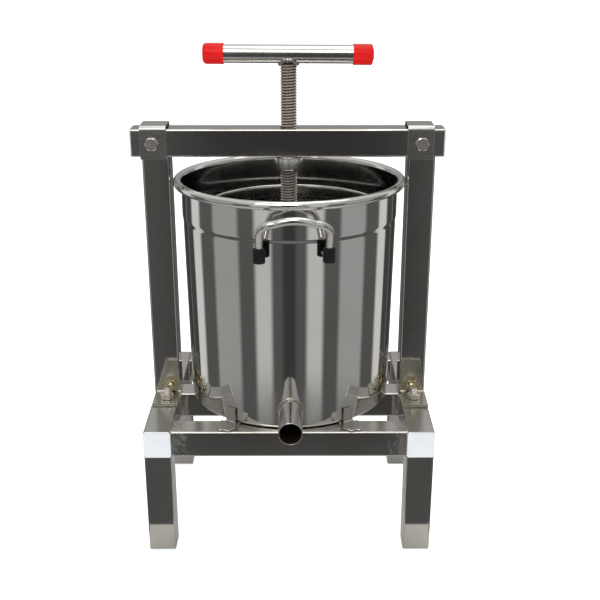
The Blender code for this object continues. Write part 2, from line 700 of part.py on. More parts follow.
def build_handles():
    half = half_handle_path()
    mirrored = [(-x, y, z) for x, y, z in half]
    path = half + mirrored[-2::-1]
    wire = wire_mesh("pot_handle", path, HANDLE_WIRE_RADIUS)
    channel = wire_mesh("sleeve_channel", path, HANDLE_WIRE_RADIUS + GAP)
    wall = rod_mesh("handle_wall", pot_radius(HANDLE_WELD_Z + HANDLE_WIRE_RADIUS) + GAP, 2 * TUBE,
                    2 * POT_STEPS, HANDLE_WELD_Z - TUBE)
    wall_cutter = place_cutter("handle_wall", wall, (*POT_CENTRE, 0))
    for position, turn in (("front", HANDLE_TURN), ("rear", HANDLE_TURN + math.pi)):
        rotation = (0, 0, turn)
        handle = place("pot_handle_" + position, wire.copy(), POLISHED_STEEL, (*POT_CENTRE, 0), rotation)
        add_boolean(handle, wall_cutter)
        cutter = place_cutter("sleeve_channel_" + position, channel.copy(), (*POT_CENTRE, 0), rotation)
        for side, sign in SIDES.items():
            name = f"handle_sleeve_{position}_{side}"
            mesh = rod_mesh(name, SLEEVE_RADIUS, SLEEVE_TOP - SLEEVE_BOTTOM, SLEEVE_STEPS,
                            SLEEVE_BOTTOM)
            mesh.transform(Matrix.Translation((sign * HANDLE_HALF_SPAN, -HANDLE_LEG_REACH, 0)))
            sleeve = place(name, smooth(mesh), BLACK_SILICONE, (*POT_CENTRE, 0), rotation)
            add_boolean(sleeve, cutter)


# ---------------------------------------------------------------------------
# Clips that locate the pot
# ---------------------------------------------------------------------------
def build_clips():
    top = STAND_TOP + GAP
    wall_radius = pot_radius(top + CLIP_PLATE_HEIGHT) + GAP
    reach = wall_radius + GAP + CLIP_THICKNESS / 2
    wall = rod_mesh("clip_wall", wall_radius, TUBE, 2 * POT_STEPS, STAND_TOP - CLIP_THICKNESS)
    wall_cutter = place_cutter("clip_wall", wall, (*POT_CENTRE, 0))
    rows = {"front": (CLIP_FRONT_AZIMUTH, 0.0), "rear": (CLIP_REAR_AZIMUTH, math.pi)}
    straight = CLIP_TAB_LENGTH - CLIP_TAB_RADIUS
    tab_outline = [
        (CLIP_TAB_RADIUS, CLIP_TAB_INSET), (-CLIP_TAB_RADIUS, CLIP_TAB_INSET),
        *arc((0, -straight), CLIP_TAB_RADIUS, 180, 360, 10),
    ]
    for row, (azimuth, facing) in rows.items():
        for side, sign in SIDES.items():
            hand = sign if row == "front" else -sign
            tab = outline_mesh("tab", [tab_outline], CLIP_THICKNESS)
            tab.transform(Matrix.Rotation(hand * (azimuth - CLIP_TAB_SKEW), 4, "Z"))
            tab.transform(Matrix.Translation((0, 0, CLIP_THICKNESS / 2)))
            plate = box_mesh("plate", (CLIP_PLATE_WIDTH, CLIP_THICKNESS, CLIP_PLATE_HEIGHT))
            plate.transform(Matrix.Translation((0, 0, CLIP_PLATE_HEIGHT / 2)))
            plate.transform(Matrix.Rotation(hand * azimuth, 4, "Z"))
            mesh = joined_mesh("pot_clip", tab, plate)
            along = facing + hand * azimuth
            position = (POT_CENTRE[0] + reach * math.sin(along), POT_CENTRE[1] - reach * math.cos(along), top)
            clip = place(f"pot_clip_{row}_{side}", mesh, TUBE_STEEL, position, (0, 0, facing))
            add_boolean(clip, wall_cutter)


build_uprights(build_stand())
build_beam()
build_screw()
build_pot()
build_handles()
build_clips()
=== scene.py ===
"""The looks of a stainless steel screw press for honey: fine pieces, finishes and a pale studio.

Every piece is placed from the CAD frame, in metres, with +Z up.
"""
import json
import math

import bmesh
import bpy
from mathutils import Matrix, Vector, noise


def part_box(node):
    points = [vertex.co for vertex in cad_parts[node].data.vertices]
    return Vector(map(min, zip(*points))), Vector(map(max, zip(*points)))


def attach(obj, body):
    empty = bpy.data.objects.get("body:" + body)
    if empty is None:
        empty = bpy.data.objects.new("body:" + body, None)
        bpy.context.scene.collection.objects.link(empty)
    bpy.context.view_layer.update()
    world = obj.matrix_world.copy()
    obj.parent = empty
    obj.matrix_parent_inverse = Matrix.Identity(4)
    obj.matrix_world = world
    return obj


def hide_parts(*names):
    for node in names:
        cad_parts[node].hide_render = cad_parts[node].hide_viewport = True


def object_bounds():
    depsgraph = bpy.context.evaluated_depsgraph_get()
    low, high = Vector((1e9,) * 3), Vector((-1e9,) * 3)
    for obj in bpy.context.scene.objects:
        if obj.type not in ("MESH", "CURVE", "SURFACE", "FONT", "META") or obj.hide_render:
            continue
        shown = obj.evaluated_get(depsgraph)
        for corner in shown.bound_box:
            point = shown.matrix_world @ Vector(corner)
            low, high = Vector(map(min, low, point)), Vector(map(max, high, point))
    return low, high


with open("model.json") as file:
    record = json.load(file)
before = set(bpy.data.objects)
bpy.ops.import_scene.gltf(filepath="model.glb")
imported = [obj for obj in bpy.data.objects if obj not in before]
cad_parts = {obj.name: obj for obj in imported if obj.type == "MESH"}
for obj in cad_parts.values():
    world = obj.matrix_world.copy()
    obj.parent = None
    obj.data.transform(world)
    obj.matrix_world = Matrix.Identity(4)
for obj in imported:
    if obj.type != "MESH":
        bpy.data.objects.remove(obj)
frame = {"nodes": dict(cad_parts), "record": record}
cad_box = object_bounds()

BODY_OF = {
    node: body
    for body, members in frame["record"]["behaviour"]["bodies"].items()
    for node in members
}
SIDES = {"left": -1, "right": 1}
ROWS = ("front", "rear")

# Square tube
TUBE_WALL = 0.0015
TUBE_CORNER = 0.0022
CUT_EDGE = 0.0003                # broken edge where a tube or a sheet was cut

# Pot
POT_WALL = 0.001
POT_BASE_RADIUS = 0.1154
POT_STEP_RADIUS = 0.1184
POT_UPPER_RADIUS = 0.1192
POT_CORNER = 0.004
POT_STEP_Z = 0.3625
POT_STEP_HEIGHT = 0.006
RIM_ROLL_RADIUS = 0.0046
POT_STEPS = 256
SPOUT_WALL = 0.0012

# Basket
BASKET_WALL = 0.001
BASKET_RIM_RADIUS = 0.0011
BASKET_TOP_BAND = 0.009
BASKET_LOW_BAND = 0.012
HOLE_PITCH = 0.0055
HOLE_RADIUS = 0.0018

# Wire handles
HANDLE_TURN = math.radians(2.5)
HANDLE_WIRE_RADIUS = 0.004
HANDLE_HALF_SPAN = 0.0355
HANDLE_WELD_Z = 0.3475
HANDLE_BEND = 0.006
HANDLE_LEG_REACH = 0.1252
HANDLE_LEAN = math.radians(33.5)
HANDLE_LEAN_LENGTH = 0.0352
HANDLE_CORNER = 0.014
HANDLE_ARCH = 0.0052

# Screw and its bar
SCREW_DEPTH = 0.0013
SCREW_PITCH = 0.003
BAR_TILT = math.radians(0.35)

# M8 bolts and nuts
HEX_FLAT = 0.0065
BOLT_DEPTH = 0.0005
BOLT_PITCH = 0.00125
HEAD_HEIGHT = 0.0053
NUT_HEIGHT = 0.0065
NUT_BORE = 0.0041
BOLT_RADIUS = 0.0039
HEX_STEPS = 48

# Clips that locate the pot
CLIP_THICKNESS = 0.002
CLIP_PLATE_WIDTH = 0.012
CLIP_TAB_RADIUS = 0.011
CLIP_TAB_LENGTH = 0.0235
CLIP_TAB_SKEW = math.radians(16.4)
CLIP_AZIMUTH = {"front": math.radians(33.4), "rear": math.radians(42.0)}

ALONG_X = Matrix.Rotation(math.radians(90), 4, "Y")
ALONG_Y = Matrix.Rotation(math.radians(-90), 4, "X")
AGAINST_Y = Matrix.Rotation(math.radians(90), 4, "X")
UPSIDE_DOWN = Matrix.Rotation(math.radians(180), 4, "X")
TO_AXIS = (ALONG_X, ALONG_Y, Matrix.Identity(4))    # each turns local Z to that axis


# ---------------------------------------------------------------------------
# Places in the frame
# ---------------------------------------------------------------------------
def centre_of(node):
    low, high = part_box(node)
    return (low + high) / 2


POT_LOW, POT_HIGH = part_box("pot")
POT_CENTRE = Vector(((POT_LOW.x + POT_HIGH.x) / 2, (POT_LOW.y + POT_HIGH.y) / 2, 0))
SCREW_AXIS = Vector((0, centre_of("screw").y, 0))


def pot_radius(z):
    """The radius of the pot's slightly tapered outer wall below its step."""
    base = POT_LOW.z + POT_CORNER
    share = (z - base) / (POT_STEP_Z - POT_STEP_HEIGHT / 2 - base)
    return POT_BASE_RADIUS + share * (POT_STEP_RADIUS - POT_BASE_RADIUS)


def on_pot(azimuth, z, reach=0.0):
    """A point outside the pot's wall; azimuth 0 is the front, and it grows towards +X."""
    radius = pot_radius(z) + reach
    return POT_CENTRE + Vector((radius * math.sin(azimuth), -radius * math.cos(azimuth), z))


# ---------------------------------------------------------------------------
# Mesh building
# ---------------------------------------------------------------------------
def new_piece(name, shape, sharp=35.0):
    """Turn a bmesh into a smooth-shaded object."""
    bmesh.ops.recalc_face_normals(shape, faces=shape.faces)
    mesh = bpy.data.meshes.new(name)
    shape.to_mesh(mesh)
    shape.free()
    mesh.shade_smooth()
    mesh.set_sharp_from_angle(angle=math.radians(sharp))
    piece = bpy.data.objects.new(name, mesh)
    bpy.context.scene.collection.objects.link(piece)
    return piece


def loft(name, rings, loop=False, closed=True, sharp=35.0):
    """Skin a list of rings. loop joins the last ring to the first; otherwise the ends are capped."""
    shape = bmesh.new()
    rows = [[shape.verts.new(point) for point in ring] for ring in rings]
    count = len(rows[0])
    pairs = list(zip(rows, rows[1:]))
    if loop:
        pairs.append((rows[-1], rows[0]))
    for first, second in pairs:
        for i in range(count if closed else count - 1):
            j = (i + 1) % count
            shape.faces.new((first[i], first[j], second[j], second[i]))
    if not loop:
        shape.faces.new(rows[0])
        shape.faces.new(rows[-1])
    bmesh.ops.remove_doubles(shape, verts=shape.verts, dist=1e-7)
    return new_piece(name, shape, sharp)


def arc(centre, radius, start, end, steps):
    """Points along an arc in a plane, its angles in degrees."""
    points = []
    for i in range(steps + 1):
        angle = math.radians(start + (end - start) * i / steps)
        points.append((centre[0] + radius * math.cos(angle), centre[1] + radius * math.sin(angle)))
    return points


def circle(radius, steps):
    return [(radius * math.cos(2 * math.pi * i / steps), radius * math.sin(2 * math.pi * i / steps))
            for i in range(steps)]


def turned(name, profile, steps=96, sharp=35.0):
    """Turn a profile of (radius, z) points about Z. It is closed, or starts and ends on the axis."""
    rings = []
    for i in range(steps):
        angle = 2 * math.pi * i / steps
        rings.append([(r * math.cos(angle), r * math.sin(angle), z) for r, z in profile])
    return loft(name, rings, loop=True, closed=profile[0][0] > 0, sharp=sharp)


def wire(name, points, radii, sides=24, loop=False, sharp=35.0):
    """A round bar along points. Each ring is turned from the last by the least angle."""
    count = len(points)
    rings = []
    turn = None
    for i, point in enumerate(points):
        before = points[i - 1] if i or loop else point
        after = points[(i + 1) % count] if loop or i < count - 1 else point
        tangent = (after - before).normalized()
        if turn is None:
            turn = tangent.to_track_quat("Z", "X")
        else:
            turn = last.rotation_difference(tangent) @ turn
        last = tangent
        rings.append([point + turn @ Vector((x, y, 0)) for x, y in circle(radii[i], sides)])
    return loft(name, rings, loop=loop, sharp=sharp)


def strap(name, path, sideways, edges, thickness):
    """A bent flat strip. path runs along its convex face, and edges give its two sides at each point."""
    rings = []
    for i, point in enumerate(path):
        before = path[max(i - 1, 0)]
        after = path[min(i + 1, len(path) - 1)]
        inward = (after - before).normalized().cross(sideways) * thickness
        low, high = (sideways * edge for edge in edges[i])
        rings.append([point + low, point + high, point + high + inward, point + low + inward])
    return loft(name, rings)


def rounded_square(half, radius, steps=8):
    points = []
    for corner, (sx, sy) in enumerate(((1, 1), (-1, 1), (-1, -1), (1, -1))):
        centre = (sx * (half - radius), sy * (half - radius))
        points += arc(centre, radius, corner * 90, corner * 90 + 90, steps)
    return points


def flat_shaded(piece):
    """Let large faces keep their true direction, so that rounded edges don't bend their gloss."""
    normals = piece.modifiers.new("normals", "WEIGHTED_NORMAL")
    normals.keep_sharp = True
    bpy.context.view_layer.update()
    graph = bpy.context.evaluated_depsgraph_get()
    piece.data = bpy.data.meshes.new_from_object(piece.evaluated_get(graph))
    piece.modifiers.clear()


def plate(name, outline, thickness, edge=CUT_EDGE):
    """A flat plate on Z = 0 from a convex outline, with its edges broken."""
    middle = Vector((sum(x for x, y in outline), sum(y for x, y in outline))) / len(outline)
    inset = []
    for point in outline:
        inward = middle - Vector(point)
        inset.append(Vector(point) + inward.normalized() * edge)
    levels = [(inset, 0), (outline, edge), (outline, thickness - edge), (inset, thickness)]
    return loft(name, [[(x, y, z) for x, y in points] for points, z in levels])


def soften(piece, width, segments=2, angle=40.0):
    """Round the piece's sharp edges."""
    bevel = piece.modifiers.new("edges", "BEVEL")
    bevel.width = width
    bevel.segments = segments
    bevel.limit_method = "ANGLE"
    bevel.angle_limit = math.radians(angle)
    return settled(piece)


def settled(piece):
    """Apply the piece's modifiers and return it."""
    bpy.context.view_layer.update()
    graph = bpy.context.evaluated_depsgraph_get()
    mesh = bpy.data.meshes.new_from_object(piece.evaluated_get(graph))
    piece.modifiers.clear()
    piece.data = mesh
    mesh.set_sharp_from_angle(angle=math.radians(35))
    return piece


def combine(piece, other, operation):
    """Cut another shape out of the piece, or unite them, and remove the other one."""
    boolean = piece.modifiers.new("boolean", "BOOLEAN")
    boolean.operation = operation
    boolean.object = other
    settled(piece)
    bpy.data.objects.remove(other, do_unlink=True)
    return piece


def placed(piece, position, rotation=None):
    piece.matrix_world = Matrix.Translation(position) @ (rotation or Matrix.Identity(4))
    return piece


def show(piece, finish, slot, *nodes, body=None):
    """Give a piece its finish, put it on its body, and let it stand for its CAD nodes."""
    flat_shaded(piece)
    piece.data.materials.clear()
    piece.data.materials.append(finish)
    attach(piece, body or BODY_OF[nodes[0]])
    if nodes:
        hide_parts(*nodes)
    return piece


# ---------------------------------------------------------------------------
# Material graphs
# ---------------------------------------------------------------------------
class Graph:
    """A node tree with short calls for the nodes used here."""

    def __init__(self, tree):
        self.tree = tree

    def add(self, kind, inputs=None, **settings):
        """A node with its settings; an input is a value or another node's socket."""
        node = self.tree.nodes.new(kind)
        for name, value in settings.items():
            setattr(node, name, value)
        for name, value in (inputs or {}).items():
            if isinstance(value, bpy.types.NodeSocket):
                self.tree.links.new(value, node.inputs[name])
            else:
                node.inputs[name].default_value = value
        return node

    def math(self, operation, *values):
        return self.add("ShaderNodeMath", dict(enumerate(values)), operation=operation).outputs[0]

    def remap(self, value, low, high, to_low=0.0, to_high=1.0, smooth=False):
        kind = "SMOOTHSTEP" if smooth else "LINEAR"
        inputs = {"Value": value, "From Min": low, "From Max": high, "To Min": to_low, "To Max": to_high}
        return self.add("ShaderNodeMapRange", inputs, interpolation_type=kind).outputs["Result"]

    def blend(self, share, first, second):
        """Mix two colours: sockets 0, 6 and 7 are the Mix node's factor and its two colours."""
        inputs = {0: share, 6: first, 7: second}
        return self.add("ShaderNodeMix", inputs, data_type="RGBA").outputs[2]

    def axis_distance(self, axis, centre=(0, 0, 0)):
        """The distance from a line along one axis of the piece through centre."""
        scale = [0 if i == axis else 1 for i in range(3)]
        point = [part * share for part, share in zip(centre, scale)]
        inputs = {0: self.position(scale), 1: point}
        return self.add("ShaderNodeVectorMath", inputs, operation="DISTANCE").outputs["Value"]

    def position(self, scale=(1, 1, 1)):
        """The place on the piece in metres, stretched by scale."""
        place = self.add("ShaderNodeTexCoord").outputs["Object"]
        return self.add("ShaderNodeMapping", {"Vector": place, "Scale": scale}).outputs[0]

    def part(self, axis):
        return self.add("ShaderNodeSeparateXYZ", {0: self.position()}).outputs[axis]

    def along(self, axis):
        """The distance from the piece's origin along one axis, on either side."""
        return self.math("ABSOLUTE", self.part(axis))

    def distance(self, point):
        inputs = {0: self.position(), 1: point}
        return self.add("ShaderNodeVectorMath", inputs, operation="DISTANCE").outputs["Value"]

    def noise(self, vector, scale, detail=3.0, distortion=0.0):
        inputs = {"Vector": vector, "Scale": scale, "Detail": detail, "Distortion": distortion}
        return self.add("ShaderNodeTexNoise", inputs).outputs["Fac"]

    def ramp(self, value, stops):
        node = self.add("ShaderNodeValToRGB", {"Fac": value})
        elements = node.color_ramp.elements
        while len(elements) < len(stops):
            elements.new(0.5)
        for element, (place, colour) in zip(elements, stops):
            element.position = place
            element.color = rgba(colour)
        return node.outputs["Color"]


def rgba(colour, factor=1.0):
    if isinstance(colour, (int, float)):
        colour = (colour, colour, colour)
    return (*(part * factor for part in colour), 1.0)


def new_material(name, metallic=0.0, **settings):
    """A Principled material, its uniform values set by socket name, and its graph."""
    material = bpy.data.materials.new(name)
    material.use_nodes = True
    shader = material.node_tree.nodes["Principled BSDF"]
    shader.inputs["Metallic"].default_value = metallic
    for socket, value in settings.items():
        shader.inputs[socket.replace("_", " ")].default_value = value
    return material, Graph(material.node_tree), shader


def drive(graph, shader, **sockets):
    for name, socket in sockets.items():
        graph.tree.links.new(socket, shader.inputs[name.replace("_", " ")])


SMUDGE_TINT = (1.0, 0.97, 0.92)
WORN_ROUGHNESS = 0.28


def steel(name, colour, roughness, grain, smudge=0.10, bump=0.03, worn=None):
    """Stainless steel: grain gives how finely its polishing lines repeat along each axis, per metre.

    smudge is how much darker and warmer it is in patches. worn, if given, makes a mask from the
    graph, and the steel is ground dull where the mask is 1.
    """
    material, graph, shader = new_material(name, metallic=1.0)
    lines = graph.noise(graph.position(grain), 1.0, detail=4.0)
    clouds = graph.noise(graph.position(), 14.0, detail=5.0, distortion=0.6)
    specks = graph.noise(graph.position(), 420.0, detail=2.0)
    tone = graph.remap(clouds, 0.3, 0.7)
    dull = [part * (1.0 - smudge) * tint for part, tint in zip(colour, SMUDGE_TINT)]
    base = graph.blend(tone, rgba(tuple(dull)), rgba(colour))
    rough = graph.remap(lines, 0.3, 0.7, roughness * 0.75, roughness * 1.25)
    rough = graph.math("ADD", rough, graph.remap(clouds, 0.35, 0.75, 0.0, roughness * 0.35))
    if worn:
        rough = graph.math("ADD", rough, graph.math("MULTIPLY", worn(graph), WORN_ROUGHNESS))
    height = graph.math("ADD", lines, graph.math("MULTIPLY", specks, 0.25))
    normal = graph.add("ShaderNodeBump", {"Strength": bump, "Distance": 0.0004, "Height": height})
    drive(graph, shader, Base_Color=base, Roughness=rough, Normal=normal.outputs[0])
    return material


def rail_wear(graph):
    """A mask of the swirled grinding at both ends of the front rail, and of its satin top."""
    end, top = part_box("front_rail")[1].x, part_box("front_rail")[1].z
    swirl = graph.noise(graph.position(), 70.0, detail=6.0, distortion=2.5)
    reach = graph.math("ADD", graph.along(0), graph.remap(swirl, 0.3, 0.7, -0.012, 0.012))
    streaks = graph.remap(swirl, 0.25, 0.6, 0.5, 1.0)
    ends = graph.math("MULTIPLY", graph.remap(reach, end - 0.0247, end - 0.0087), streaks)
    satin = graph.remap(graph.along(2), top - 0.0022, top - 0.0008, 0.0, 0.6)
    return graph.math("MAXIMUM", ends, satin)


def round_spout(graph):
    """A mask of the satin zone brushed round the spout's weld."""
    low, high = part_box("spout")
    middle = Vector((0, -pot_radius((low.z + high.z) / 2), (low.z + high.z) / 2))
    swirl = graph.noise(graph.position(), 60.0, detail=4.0, distortion=1.0)
    reach = graph.math("ADD", graph.distance(middle), graph.remap(swirl, 0.3, 0.7, -0.006, 0.006))
    return graph.remap(reach, 0.046, 0.017, 0.0, 0.4, smooth=True)


def inside_mouth(graph):
    """A mask of the pot's inner wall above the step, where shade is painted."""
    over_step = graph.remap(graph.part(2), POT_STEP_Z + 0.0035, POT_STEP_Z + 0.0045)
    middle_of_wall = POT_UPPER_RADIUS - POT_WALL / 2
    inside = graph.remap(graph.axis_distance(2), middle_of_wall + 0.0002, middle_of_wall - 0.0002)
    return graph.math("MULTIPLY", over_step, inside)


def outside_mouth(graph):
    return graph.math("SUBTRACT", 1.0, inside_mouth(graph))


TUBE_COLOUR = (0.62, 0.61, 0.585)
FINE = 900.0
COARSE = 12.0
GRAINS = [tuple(COARSE if axis == i else FINE for i in range(3)) for axis in range(3)]
TUBE_ROUGHNESS = (0.08, 0.17, 0.06)
TUBE_STEEL = [
    steel("tube_steel_" + "xyz"[axis], TUBE_COLOUR, TUBE_ROUGHNESS[axis], GRAINS[axis])
    for axis in range(3)
]
RAIL_STEEL = steel("rail_steel", TUBE_COLOUR, 0.035, GRAINS[0], worn=rail_wear)
SHEET_STEEL = steel("sheet_steel", TUBE_COLOUR, 0.18, (60.0, 500.0, 500.0), bump=0.012)
BRACKET_STEEL = steel("bracket_steel", (0.60, 0.58, 0.50), 0.20, (500.0, 60.0, 500.0), 0.15, 0.02)
TURNED_STEEL = steel("turned_steel", (0.68, 0.68, 0.66), 0.15, (60.0, 60.0, 1800.0), bump=0.04)
# Painted shade: the basket's steel is darker, for the mesh that stands in the pot's shadow.
SHADED_BASKET_STEEL = steel("shaded_basket_steel", (0.36, 0.355, 0.34), 0.22, (200.0, 200.0, 200.0))
FASTENER_STEEL = steel("fastener_steel", (0.88, 0.86, 0.81), 0.24, (400.0, 400.0, 400.0), bump=0.08)
BRASS_STEEL = steel("yellow_zinc", (0.60, 0.52, 0.36), 0.20, (400.0, 400.0, 400.0), bump=0.08)
WELD_STEEL = steel("weld_steel", (0.60, 0.58, 0.55), 0.22, (700.0, 700.0, 700.0), 0.35, 0.25)


def with_painted_shade(name, colour, roughness, painted_shade, place, dullness=0.25, grain=(300.0, 300.0, 300.0),
            smudge=0.15, bump=0.04, worn=None):
    """Steel with painted shade: darker in colour and duller where the mask that place makes from the graph
    is 0.
    """
    material = steel(name, colour, roughness, grain, smudge, bump, worn=worn)
    graph = Graph(material.node_tree)
    shader = material.node_tree.nodes["Principled BSDF"]
    clean = shader.inputs["Base Color"].links[0].from_socket
    polish = shader.inputs["Roughness"].links[0].from_socket
    mask = place(graph)
    rough = graph.math("MULTIPLY_ADD", graph.math("SUBTRACT", 1.0, mask), dullness, polish)
    drive(graph, shader, Base_Color=graph.blend(mask, rgba(painted_shade), clean), Roughness=rough)
    return material


def thread_crests(graph):
    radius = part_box("screw")[1].y - SCREW_AXIS.y
    return graph.remap(graph.axis_distance(2), radius - SCREW_DEPTH * 0.9, radius - SCREW_DEPTH * 0.25)


def outside_bore(graph):
    low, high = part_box("spout")
    bore = (high.x - low.x) / 2 - SPOUT_WALL
    return graph.remap(graph.axis_distance(1, (low + high) / 2), bore + 0.0001, bore + 0.0004)


# Painted shade: the thread's roots are dark brown and duller, and its crests are bright.
THREAD_STEEL = with_painted_shade("thread_steel", (0.90, 0.87, 0.82), 0.30, (0.13, 0.105, 0.08), thread_crests)
# Painted shade: the pot's inner wall above the step is darker and duller than its outside.
POT_STEEL = with_painted_shade("pot_steel", (0.70, 0.70, 0.69), 0.036, (0.56, 0.56, 0.55), outside_mouth, 0.09,
                    (30.0, 30.0, 1500.0), 0.05, 0.006, round_spout)
# Painted shade: the spout's bore is dark brown inside.
SPOUT_STEEL = with_painted_shade("spout_steel", (0.68, 0.68, 0.66), 0.15, (0.26, 0.19, 0.12), outside_bore)


def plastic(name, clouds, grain, dark, light, roughness, bump, **settings):
    """A moulded finish: clouds and grain are the scales of its mottling and its fine texture."""
    material, graph, shader = new_material(name, **settings)
    mottle = graph.noise(graph.position(), clouds, detail=4.0)
    texture = graph.noise(graph.position(), grain, detail=3.0)
    base = graph.blend(graph.remap(mottle, 0.3, 0.7), rgba(dark), rgba(light))
    rough = graph.remap(texture, 0.3, 0.7, *roughness)
    normal = graph.add("ShaderNodeBump", {"Strength": bump, "Distance": 0.0003, "Height": texture})
    drive(graph, shader, Base_Color=base, Roughness=rough, Normal=normal.outputs[0])
    return material


def black_silicone():
    material, graph, shader = new_material("black_silicone", Specular_IOR_Level=0.22)
    grain = graph.noise(graph.position(), 2200.0, detail=4.0)
    dust = graph.noise(graph.position(), 90.0, detail=5.0)
    base = graph.blend(graph.remap(dust, 0.4, 0.8), rgba(0.005), rgba(0.009))
    rough = graph.remap(dust, 0.3, 0.7, 0.50, 0.66)
    normal = graph.add("ShaderNodeBump", {"Strength": 0.15, "Distance": 0.0003, "Height": grain})
    drive(graph, shader, Base_Color=base, Roughness=rough, Normal=normal.outputs[0])
    return material


RED_VINYL = plastic(
    "red_vinyl", 60.0, 1500.0, (0.52, 0.004, 0.003), (0.60, 0.006, 0.005), (0.28, 0.42), 0.05,
    Coat_Weight=0.04, Coat_Roughness=0.10, Specular_IOR_Level=0.15,
)
WHITE_PLASTIC = plastic(
    "white_plastic", 45.0, 1800.0, (0.57, 0.59, 0.605), (0.61, 0.63, 0.645), (0.42, 0.55), 0.08,
)
BLACK_SILICONE = black_silicone()


# ---------------------------------------------------------------------------
# Stand, uprights and beam: square tube with plugs
# ---------------------------------------------------------------------------
def square_tube(node):
    """A seamless rounded-square tube in the CAD node's box, open at its ends."""
    low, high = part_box(node)
    size = high - low
    axis = max(range(3), key=lambda i: size[i])
    half = min(size) / 2
    length = size[axis]
    outer = rounded_square(half, TUBE_CORNER)
    broken = rounded_square(half - CUT_EDGE, TUBE_CORNER - CUT_EDGE)
    inner = rounded_square(half - TUBE_WALL, TUBE_CORNER - TUBE_WALL)
    levels = [
        (inner, -length / 2), (broken, -length / 2), (outer, -length / 2 + CUT_EDGE),
        (outer, length / 2 - CUT_EDGE), (broken, length / 2), (inner, length / 2),
    ]
    rings = []
    for section, z in levels:
        ring = []
        for x, y in section:
            ring.append((low + high) / 2 + TO_AXIS[axis] @ Vector((x, y, z)))
        rings.append(ring)
    tube = loft("tube_" + node, rings, loop=True, sharp=30.0)
    return tube, axis


def tube_plug(node, outward):
    """A push-in plug with a slightly domed flange; outward is the way its face looks."""
    low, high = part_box(node)
    axis = max(range(3), key=lambda i: abs(outward[i]))
    half = (high - low)[(axis + 1) % 3] / 2
    flange = 0.0021
    edge = 0.0009
    dome = 0.0002
    face = high[axis] if outward[axis] > 0 else low[axis]
    centre = (low + high) / 2
    centre[axis] = face
    levels = [(half - 0.0003, -flange), (half, -flange + 0.0003)]
    for inset, z in arc((0, 0), edge, 0, 90, 6):
        levels.append((half - edge + inset, -edge + z - dome))
    levels += [(half - 0.004, -dome / 2), (half - 0.009, 0.0)]
    rings = []
    for size, z in levels:
        corner = max(TUBE_CORNER - (half - size), 0.0004)
        rings.append([(x, y, z) for x, y in rounded_square(size, corner)])
    plug = loft("plug_" + node, rings)
    turn = Vector((0, 0, 1)).rotation_difference(Vector(outward)).to_matrix().to_4x4()
    return placed(plug, centre, turn)


def build_tubes():
    tubes = ["side_tube_left", "side_tube_right", "front_rail", "middle_rail", "rear_rail",
             "upright_left", "upright_right", "beam"]
    tubes += [f"leg_{row}_{side}" for row in ROWS for side in SIDES]
    for node in tubes:
        tube, axis = square_tube(node)
        if node == "beam":
            hole = turned("hole", [(0, -0.03), (0.0098, -0.03), (0.0098, 0.03), (0, 0.03)])
            combine(tube, placed(hole, (SCREW_AXIS.x, SCREW_AXIS.y, centre_of("beam").z)), "DIFFERENCE")
        show(tube, RAIL_STEEL if node == "front_rail" else TUBE_STEEL[axis], "tube_steel", node)
    outward = {"front": (0, -1, 0), "rear": (0, 1, 0)}
    for side, sign in SIDES.items():
        beam_plug = "beam_plug_" + side
        show(tube_plug(beam_plug, (sign, 0, 0)), WHITE_PLASTIC, "white_plastic", beam_plug)
        for row in ROWS:
            end = f"tube_plug_{row}_{side}"
            foot = f"leg_plug_{row}_{side}"
            show(tube_plug(end, outward[row]), WHITE_PLASTIC, "white_plastic", end)
            show(tube_plug(foot, (0, 0, -1)), WHITE_PLASTIC, "white_plastic", foot)


def tube_weld(name, place, axis, half):
    """A thin bead round the end of a welded square tube."""
    points = []
    radii = []
    outline = rounded_square(half, TUBE_CORNER + 0.0004, 12)
    for i, (x, y) in enumerate(outline):
        points.append(place + TO_AXIS[axis] @ Vector((x, y, 0)))
        radii.append(0.0008 * (1 + 0.25 * math.sin(i * 1.9) + 0.2 * math.sin(i * 0.7 + 2)))
    bead = wire(name, points, radii, sides=10, loop=True, sharp=60.0)
    show(bead, WELD_STEEL, "tube_steel", body="root")


def build_tube_welds():
    for row in ROWS:
        for side in SIDES:
            low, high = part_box(f"leg_{row}_{side}")
            top = Vector(((low.x + high.x) / 2, (low.y + high.y) / 2, high.z - 0.0002))
            tube_weld(f"leg_weld_{row}_{side}", top, 2, (high.x - low.x) / 2)
    for rail in ("front_rail", "middle_rail", "rear_rail"):
        low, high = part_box(rail)
        middle = (low + high) / 2
        for side, x in (("left", low.x), ("right", high.x)):
            tube_weld(f"{rail}_weld_{side}", Vector((x, middle.y, middle.z)), 0, (high.z - low.z) / 2)


def saddle(side):
    """The strap bent over the beam's end, down to the upright's front and back."""
    node = "saddle_" + side
    low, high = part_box(node)
    bend = 0.0032
    steps = 8
    path = [(low.y, low.z), *arc((low.y + bend, high.z - bend), bend, 180, 90, steps),
            *arc((high.y - bend, high.z - bend), bend, 90, 0, steps), (high.y, low.z)]
    points = [Vector((0, y, z)) for y, z in path]
    piece = strap("strap_" + node, points, Vector((-1, 0, 0)), [(-high.x, -low.x)] * len(points), 0.002)
    return soften(piece, 0.0003)


